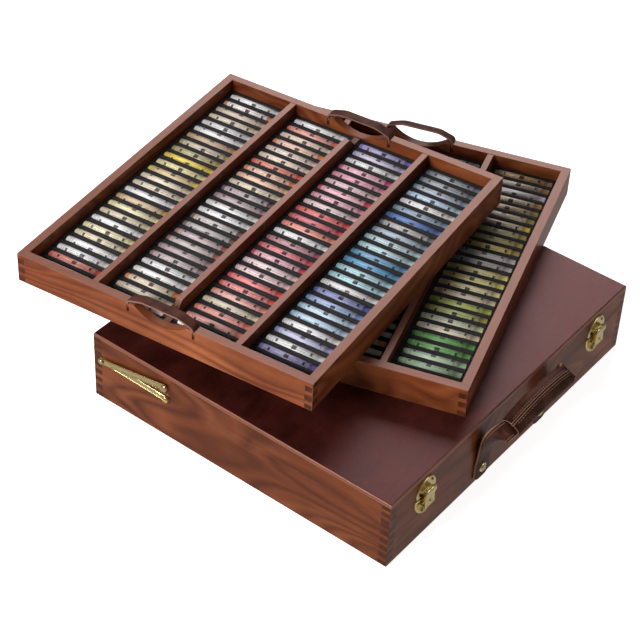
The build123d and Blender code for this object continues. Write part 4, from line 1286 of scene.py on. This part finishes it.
thread = thread_material()
stitch = stitch_pattern()
stitch_tree, stitch_scale = copies_tree("sewn_seam", stitch, thread)
places = []
for side in (-1, 1):
    for step in range(STITCHES):
        x = STITCH_START + STITCH_PITCH * (step + 0.5)
        centre, wide, thick = grip_place(x)
        place = centre + grip_wide * (side * STITCH_OFF_SEAM) + grip_thick * (thick * 0.965)
        slope = Vector((1, 0, -2 * GRIP_RISE * x / GRIP_HALF_LENGTH ** 2))
        places.append((place, facing(slope, grip_thick + grip_wide * side * STITCH_TILT), (1, 1, 1)))
band = handle_stations()[SEWN_STATIONS]
for points in (band, mirrored(band)):
    for near, far in zip(points, points[1:]):
        for side in (-1, 1):
            for normal_side in (-1, 1):
                middle = (near[0] + far[0]) / 2
                place = (middle + near[1] * (side * (near[3] - STITCH_OFF_EDGE))
                         + near[2] * (normal_side * near[4]))
                places.append((place, facing(far[0] - near[0], near[2] * normal_side), (0.85, 1, 1)))
seams = bake_copies("handle_stitches", places, stitch_tree, stitch_scale)
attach(seams, "carry_handle")
bpy.data.objects.remove(stitch)

# ------------------------------------------------------------------ draw latches
# Each latch is pressed brass sheet: a shield plate with a raised bead and two lugs on the
# base, a ridged lever on a pin between them, and a beaded catch plate on the lid.
LATCH_HALF_WIDTH = 0.017
LATCH_PLATE_BULGE = 0.56
SHIELD_WAIST = 0.84
ARC_STEPS = 12
CATCH_HALF_WIDTH = 0.015
CATCH_BULGE = 0.62
LUG_SPREAD = 0.0086
LUG_HALF_THICK = 0.0006
LEVER_HALF_WIDTH = 0.0075
LEVER_IN = 0.0046
LEVER_OUT = 0.0060
LEVER_FOOT = (0.0, 0.004, 0.009)
LEVER_HEAD = ((0.0095, 0), (0.004, 0), (0.0022, 0.0004), (0.0010, 0.0013), (0.0, 0.0032))
LEVER_RIDGE = 0.0005
LEVER_PLAIN = 0.011
BARREL_RADIUS = 0.0024
HOOK_HALF_WIDTH = 0.0080
RIDGE_HALF_WIDTH = 0.0070
PIVOT_OUT = 0.0040
BARREL_BORE = 0.00106
BARREL_FACE = 0.0021
EYELET_RISE = 0.0062
RIDGE_RISE = 0.0031
# LEVER_FOOT is heights above the pivot and LEVER_HEAD (below the top, drawn in). Sections are
# (out, height): a lug's from the pivot, the ridge's from its foot, the hook's from the top.
# EYELET is (radius, height) and BEAD (inset from the plate's edge, out).
LUG = ((0.0008, -0.0038), (0.0032, -0.0040), (0.0052, -0.0030), (0.0060, -0.0008),
       (0.0060, 0.0018), (0.0052, 0.0040), (0.0032, 0.0050), (0.0008, 0.0050))
RIDGE = ((0.0008, 0.0), (0.0034, 0.0), (0.0041, 0.0007), (0.0042, 0.0014),
         (0.0042, 0.0026), (0.0041, 0.0033), (0.0034, 0.0038), (0.0008, 0.0038))
HOOK = ((0.0058, -0.0095), (0.0067, -0.0093), (0.0076, -0.0080), (0.0080, -0.0058),
        (0.0080, -0.0036), (0.0075, -0.0014), (0.0067, -0.0003), (0.0058, 0.0))
EYELET = ((0.0011, 0.0), (0.0012, 0.0009), (0.0016, 0.0011), (0.0021, 0.0009), (0.0023, 0.0))
BEAD = ((0, 0.0), (0, 0.0007), (0.0003, 0.00125), (0.0008, 0.0018), (0.0013, 0.0019),
        (0.0018, 0.0017), (0.0023, 0.00115), (0.0030, 0.0010))


def shield_outline(half_width, straight_z, tip_z, bulge):
    """A shield's points: one straight edge, then an arc down each side to the tip."""
    a = Vector((half_width, straight_z))
    b = Vector((half_width * SHIELD_WAIST, straight_z + (tip_z - straight_z) * bulge))
    c = Vector((0.0, tip_z))
    ab, bc = b - a, c - b
    spin = 2 * (ab.x * bc.y - ab.y * bc.x)
    u = (b.length_squared - a.length_squared, c.length_squared - b.length_squared)
    middle = Vector(((u[0] * bc.y - u[1] * ab.y) / spin, (u[1] * ab.x - u[0] * bc.x) / spin))
    radius = (a - middle).length
    first = atan2(a.y - middle.y, a.x - middle.x)
    sweep = (atan2(c.y - middle.y, c.x - middle.x) - first + pi) % (2 * pi) - pi
    right = []
    for step in range(ARC_STEPS + 1):
        angle = first + sweep * step / ARC_STEPS
        right.append(middle + Vector((cos(angle), sin(angle))) * radius)
    top = [Vector((half_width * share, straight_z)) for share in (-0.75, -0.5, -0.25, 0, 0.25, 0.5, 0.75)]
    return top + right + [Vector((-p.x, p.y)) for p in reversed(right[:-1])]


def add_pressed(shape, spot, outline, levels):
    """A pressed plate; spot(u, v, out) places a point, levels are (inset, out) of its rings."""
    count = len(outline)
    turn = 1 if sum(a.x * b.y - a.y * b.x for a, b in zip(outline, outline[1:] + outline[:1])) > 0 else -1
    inward = []
    for i, point in enumerate(outline):
        run = (outline[(i + 1) % count] - outline[i - 1]).normalized()
        inward.append(Vector((-run.y, run.x)) * turn)
    rings = []
    for inset, out in levels:
        rings.append([shape.verts.new(spot(p.x + n.x * inset, p.y + n.y * inset, out))
                      for p, n in zip(outline, inward)])
    skin_rings(shape, rings)


def on_face(centre_x):
    """Places a point (u, v, out) on the case's front face."""
    return lambda u, v, out: Vector((centre_x + u, front_y - out, v))


def add_prism(shape, centre_x, sections):
    """A form lofted along X through sections of (x, [(out, z), ...])."""
    rings = [[shape.verts.new((centre_x + x, front_y - out, z)) for out, z in points]
             for x, points in sections]
    skin_rings(shape, rings)


def raised(section, z):
    """A section's points at a height."""
    return [(out, z + rise) for out, rise in section]


def swell(points, share):
    """Section points drawn in towards their middle."""
    out = sum(p[0] for p in points) / len(points)
    z = sum(p[1] for p in points) / len(points)
    return [(out + (p[0] - out) * share, z + (p[1] - z) * share) for p in points]


latch_xs = sorted((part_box(f"latch_lever_{end}")[0].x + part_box(f"latch_lever_{end}")[1].x) / 2
                  for end in ("left", "right"))
plate_low, plate_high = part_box("latch_plates")
catch_low, catch_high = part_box("latch_catches")
lever_low, lever_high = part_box("latch_lever_left")
pivot_z = lever_low.z + BARREL_RADIUS

shape = bmesh.new()
for x in latch_xs:
    outline = shield_outline(LATCH_HALF_WIDTH, plate_high.z, plate_low.z, LATCH_PLATE_BULGE)
    add_pressed(shape, on_face(x), outline, BEAD)
    for side in (-1, 1):
        lug = raised(LUG, pivot_z)
        middle = side * LUG_SPREAD
        add_prism(shape, x, [(middle - LUG_HALF_THICK, swell(lug, 0.94)),
                             (middle - LUG_HALF_THICK * 0.6, lug), (middle + LUG_HALF_THICK * 0.6, lug),
                             (middle + LUG_HALF_THICK, swell(lug, 0.94))])
plates = new_piece("latch_shields", shape, brass, True)
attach(plates, "case_base")
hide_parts("latch_plates")

shape = bmesh.new()
for x in latch_xs:
    outline = shield_outline(CATCH_HALF_WIDTH, catch_low.z, catch_high.z, CATCH_BULGE)
    add_pressed(shape, on_face(x), outline, BEAD)
    ridge = raised(RIDGE, catch_low.z + RIDGE_RISE)
    add_prism(shape, x, [(-RIDGE_HALF_WIDTH, swell(ridge, 0.85)), (-RIDGE_HALF_WIDTH + 0.0006, ridge),
                         (RIDGE_HALF_WIDTH - 0.0006, ridge), (RIDGE_HALF_WIDTH, swell(ridge, 0.85))])
catches = new_piece("latch_catch_plates", shape, brass, True)
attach(catches, "lid")
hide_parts("latch_catches")


def make_lever(end, x):
    """The ridged lever with its barrel, eyelet and the bulged hook at its head."""
    shape = bmesh.new()
    top = lever_high.z
    rows = []
    levels = [(pivot_z + rise, 0) for rise in LEVER_FOOT] + [(top - drop, cut) for drop, cut in LEVER_HEAD]
    for z, cut in levels:
        half = LEVER_HALF_WIDTH - cut
        ridge = LEVER_RIDGE if z < top - LEVER_PLAIN else 0.0
        crest = [(-half, 0.0), (-half + 0.0005, ridge * 1.2), (-half + 0.0014, ridge * 1.2),
                 (-half + 0.0021, 0.0), (-0.0027, 0.0), (-0.0020, ridge), (-0.0010, ridge * 0.3)]
        crest += [(-a, b) for a, b in reversed(crest)]
        row = [(a, LEVER_OUT + b) for a, b in crest] + [(half, LEVER_IN), (-half, LEVER_IN)]
        rows.append([shape.verts.new((x + a, front_y - out, z)) for a, out in row])
    skin_rings(shape, rows)
    axis = Matrix.Translation((x, front_y - PIVOT_OUT, pivot_z)) @ Matrix.Rotation(pi / 2, 4, "Y")
    half = LEVER_HALF_WIDTH
    barrel = [(BARREL_BORE, -half), (BARREL_FACE, -half), (BARREL_RADIUS, -half + 0.0003),
              (BARREL_RADIUS, half - 0.0003), (BARREL_FACE, half), (BARREL_BORE, half)]
    revolve(shape, barrel, axis, 20, True)
    eyelet = (Matrix.Translation((x, front_y - LEVER_OUT + 0.0002, pivot_z + EYELET_RISE))
              @ Matrix.Rotation(pi / 2, 4, "X"))
    revolve(shape, EYELET, eyelet, 18, True)
    bulge = raised(HOOK, top)
    half = HOOK_HALF_WIDTH
    add_prism(shape, x, [(-half, swell(bulge, 0.55)), (-half + 0.0004, swell(bulge, 0.85)),
                         (-half + 0.0013, bulge), (-0.0012, bulge), (0.0, swell(bulge, 0.93)),
                         (0.0012, bulge), (half - 0.0013, bulge), (half - 0.0004, swell(bulge, 0.85)),
                         (half, swell(bulge, 0.55))])
    lever = new_piece(f"latch_hasp_{end}", shape, brass, True)
    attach(lever, f"latch_{end}")
    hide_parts(f"latch_lever_{end}", f"latch_hook_{end}")


for end, x in zip(("left", "right"), latch_xs):
    make_lever(end, x)

# ------------------------------------------------------------------ lid stays
# A folding stay on each side of the case: two arms of pressed brass strip with rolled edges,
# riveted at the elbow and screwed to the base and to the lid, folded together when shut.
STAY_HALF_WIDTH = 0.0038
STAY_EYE = 0.004
STAY_ROLL = ((0, 0.0), (0, 0.0009), (0.0003, 0.0013), (0.0008, 0.0015), (0.0013, 0.0013),
             (0.0017, 0.0008), (0.0021, 0.0007))


def make_stay(arm, end):
    """One arm, from the box of its node."""
    side = -1 if end == "left" else 1
    node = f"stay_{arm}_arm_{end}"
    low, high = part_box(node)
    bottom, top = low.z + STAY_EYE, high.z - STAY_EYE
    screw = Vector((low.y + STAY_EYE, bottom if arm == "lower" else top))
    elbow = Vector((high.y - STAY_EYE, top if arm == "lower" else bottom))
    run = (elbow - screw).normalized()
    heading = atan2(run.y, run.x)
    outline = []
    for centre, turn in ((elbow, heading), (screw, heading + pi)):
        for step in range(ARC_STEPS + 1):
            angle = turn - pi / 2 + pi * step / ARC_STEPS
            outline.append(centre + Vector((cos(angle), sin(angle))) * STAY_HALF_WIDTH)
    inner = min(abs(low.x), abs(high.x))
    shape = bmesh.new()
    add_pressed(shape, lambda u, v, out: Vector((side * (inner + out), u, v)), outline, STAY_ROLL)
    piece = new_piece(f"stay_{arm}_strip_{end}", shape, brass, True)
    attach(piece, f"stay_{arm}_{end}")
    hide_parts(node)


for end in ("left", "right"):
    make_stay("lower", end)
    make_stay("upper", end)

# ------------------------------------------------------------------ screws
# Slotted brass wood screws hold every fitting. Heads are domed, their slots point every
# way, and the handle's two sit in turned cup washers.
HEADS = {
    # node: (head radius, head height, outward axis, material, body)
    "hinge_base_screws": (0.0022, 0.0006, "+Y", "worn", "case_base"),
    "hinge_lid_screws": (0.0022, 0.0006, "+Y", "worn", "lid"),
    # The latch screws' dark finish is partly tarnish and partly painted shade for the holes they sit in.
    "latch_plate_screws": (0.0018, 0.0007, "-Y", "dark", "case_base"),
    "latch_catch_screws": (0.0018, 0.0007, "-Y", "dark", "lid"),
    "stay_base_screws": (0.0040, 0.0018, "X", "bright", "case_base"),
    "stay_lid_screws": (0.0040, 0.0018, "X", "bright", "lid"),
    "handle_screws": (0.0032, 0.0014, "-Y", "bright", "case_base"),
}
WASHER_RADIUS = 0.0055
WASHER = ((0.0024, 0.0001), (0.0028, 0.0008), (0.0034, 0.0014), (0.0040, 0.0016),
          (0.0047, 0.0014), (0.0052, 0.0009), (0.0055, 0.0003), (0.0055, 0.0))
BOX_SLACK = 0.001
SLOT_HALF = 0.16
SLOT_FLOOR = 0.40
SCREW_SEED = 5
DOME_FALL = 0.55
# Darkest brass, for the latch screws: tarnish, and painted shade for their holes.
brass_dark = brass_material("brass_dark", 1.6)


def screw_pattern():
    """A domed head of radius 1 and height 1 with a sawn slot along Y."""
    shape = bmesh.new()
    lines = []
    for x, sawn in ((-0.98, 0), (-0.85, 0), (-0.6, 0), (-SLOT_HALF, 0), (-SLOT_HALF, 1), (SLOT_HALF, 1),
                    (SLOT_HALF, 0), (0.6, 0), (0.85, 0), (0.98, 0)):
        chord = sqrt(1 - x * x)
        line = []
        for y in (-1.0, -0.85, -0.45, 0.0, 0.45, 0.85, 1.0):
            spread = x * x + (y * chord) ** 2
            height = SLOT_FLOOR if sawn else 1.0 - DOME_FALL * spread ** 1.5
            line.append(shape.verts.new((x, y * chord, height)))
        lines.append(line)
    for near, far in zip(lines, lines[1:]):
        for i in range(len(near) - 1):
            shape.faces.new((near[i], far[i], far[i + 1], near[i + 1]))
    rim = lines[0] + [line[-1] for line in lines[1:-1]] + lines[-1][::-1]
    rim += [line[0] for line in reversed(lines[1:-1])]
    foot = [shape.verts.new((v.co.x, v.co.y, 0.0)) for v in rim]
    for i in range(len(rim)):
        j = (i + 1) % len(rim)
        shape.faces.new((rim[i], rim[j], foot[j], foot[i]))
    bmesh.ops.remove_doubles(shape, verts=shape.verts, dist=1e-5)
    return new_piece("screw_pattern", shape, brass, True)


def solid_boxes(node):
    """The box of every separate solid in a node."""
    shape = bmesh.new()
    shape.from_mesh(nodes[node].data)
    bmesh.ops.remove_doubles(shape, verts=shape.verts, dist=WELD)
    left = set(shape.verts)
    boxes = []
    while left:
        group, frontier = [], [left.pop()]
        while frontier:
            vert = frontier.pop()
            group.append(vert.co.copy())
            for link in vert.link_edges:
                other = link.other_vert(vert)
                if other in left:
                    left.remove(other)
                    frontier.append(other)
        boxes.append((Vector([min(p[i] for p in group) for i in range(3)]),
                      Vector([max(p[i] for p in group) for i in range(3)])))
    shape.free()
    return sorted(boxes, key=lambda box: tuple(round(v, 5) for v in box[0]))


pattern = screw_pattern()
finishes = {"bright": brass, "worn": brass_worn, "dark": brass_dark}
screw_trees = {key: copies_tree(f"{key}_screws", pattern, finish) for key, finish in finishes.items()}
dice = random.Random(SCREW_SEED)
for node, (radius, height, axis, finish, body) in HEADS.items():
    places = []
    for low, high in solid_boxes(node):
        if node == "handle_screws" and high.x - low.x > 2 * radius + BOX_SLACK:
            continue
        middle = (low + high) / 2
        if axis == "X":
            side = 1 if middle.x > 0 else -1
            out = Vector((side, 0, 0))
            seat = Vector((high.x if side > 0 else low.x, middle.y, middle.z))
        else:
            side = 1 if axis == "+Y" else -1
            out = Vector((0, side, 0))
            seat = Vector((middle.x, high.y if side > 0 else low.y, middle.z))
        seat -= out * height
        spin = dice.uniform(0, pi)
        flat = Vector((cos(spin), 0, sin(spin))) if axis != "X" else Vector((0, cos(spin), sin(spin)))
        places.append((seat, facing(flat, out), (radius, radius, height)))
    heads = bake_copies(f"{node}_heads", places, *screw_trees[finish])
    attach(heads, body)
    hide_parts(node)
bpy.data.objects.remove(pattern)

shape = bmesh.new()
for low, high in solid_boxes("handle_screws"):
    if high.x - low.x < 2 * WASHER_RADIUS - BOX_SLACK:
        continue
    middle = (low + high) / 2
    seat = Matrix.Translation((middle.x, high.y, middle.z)) @ Matrix.Rotation(pi / 2, 4, "X")
    revolve(shape, WASHER, seat, 32, True)
washers = new_piece("handle_cup_washers", shape, brass, True)
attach(washers, "case_base")
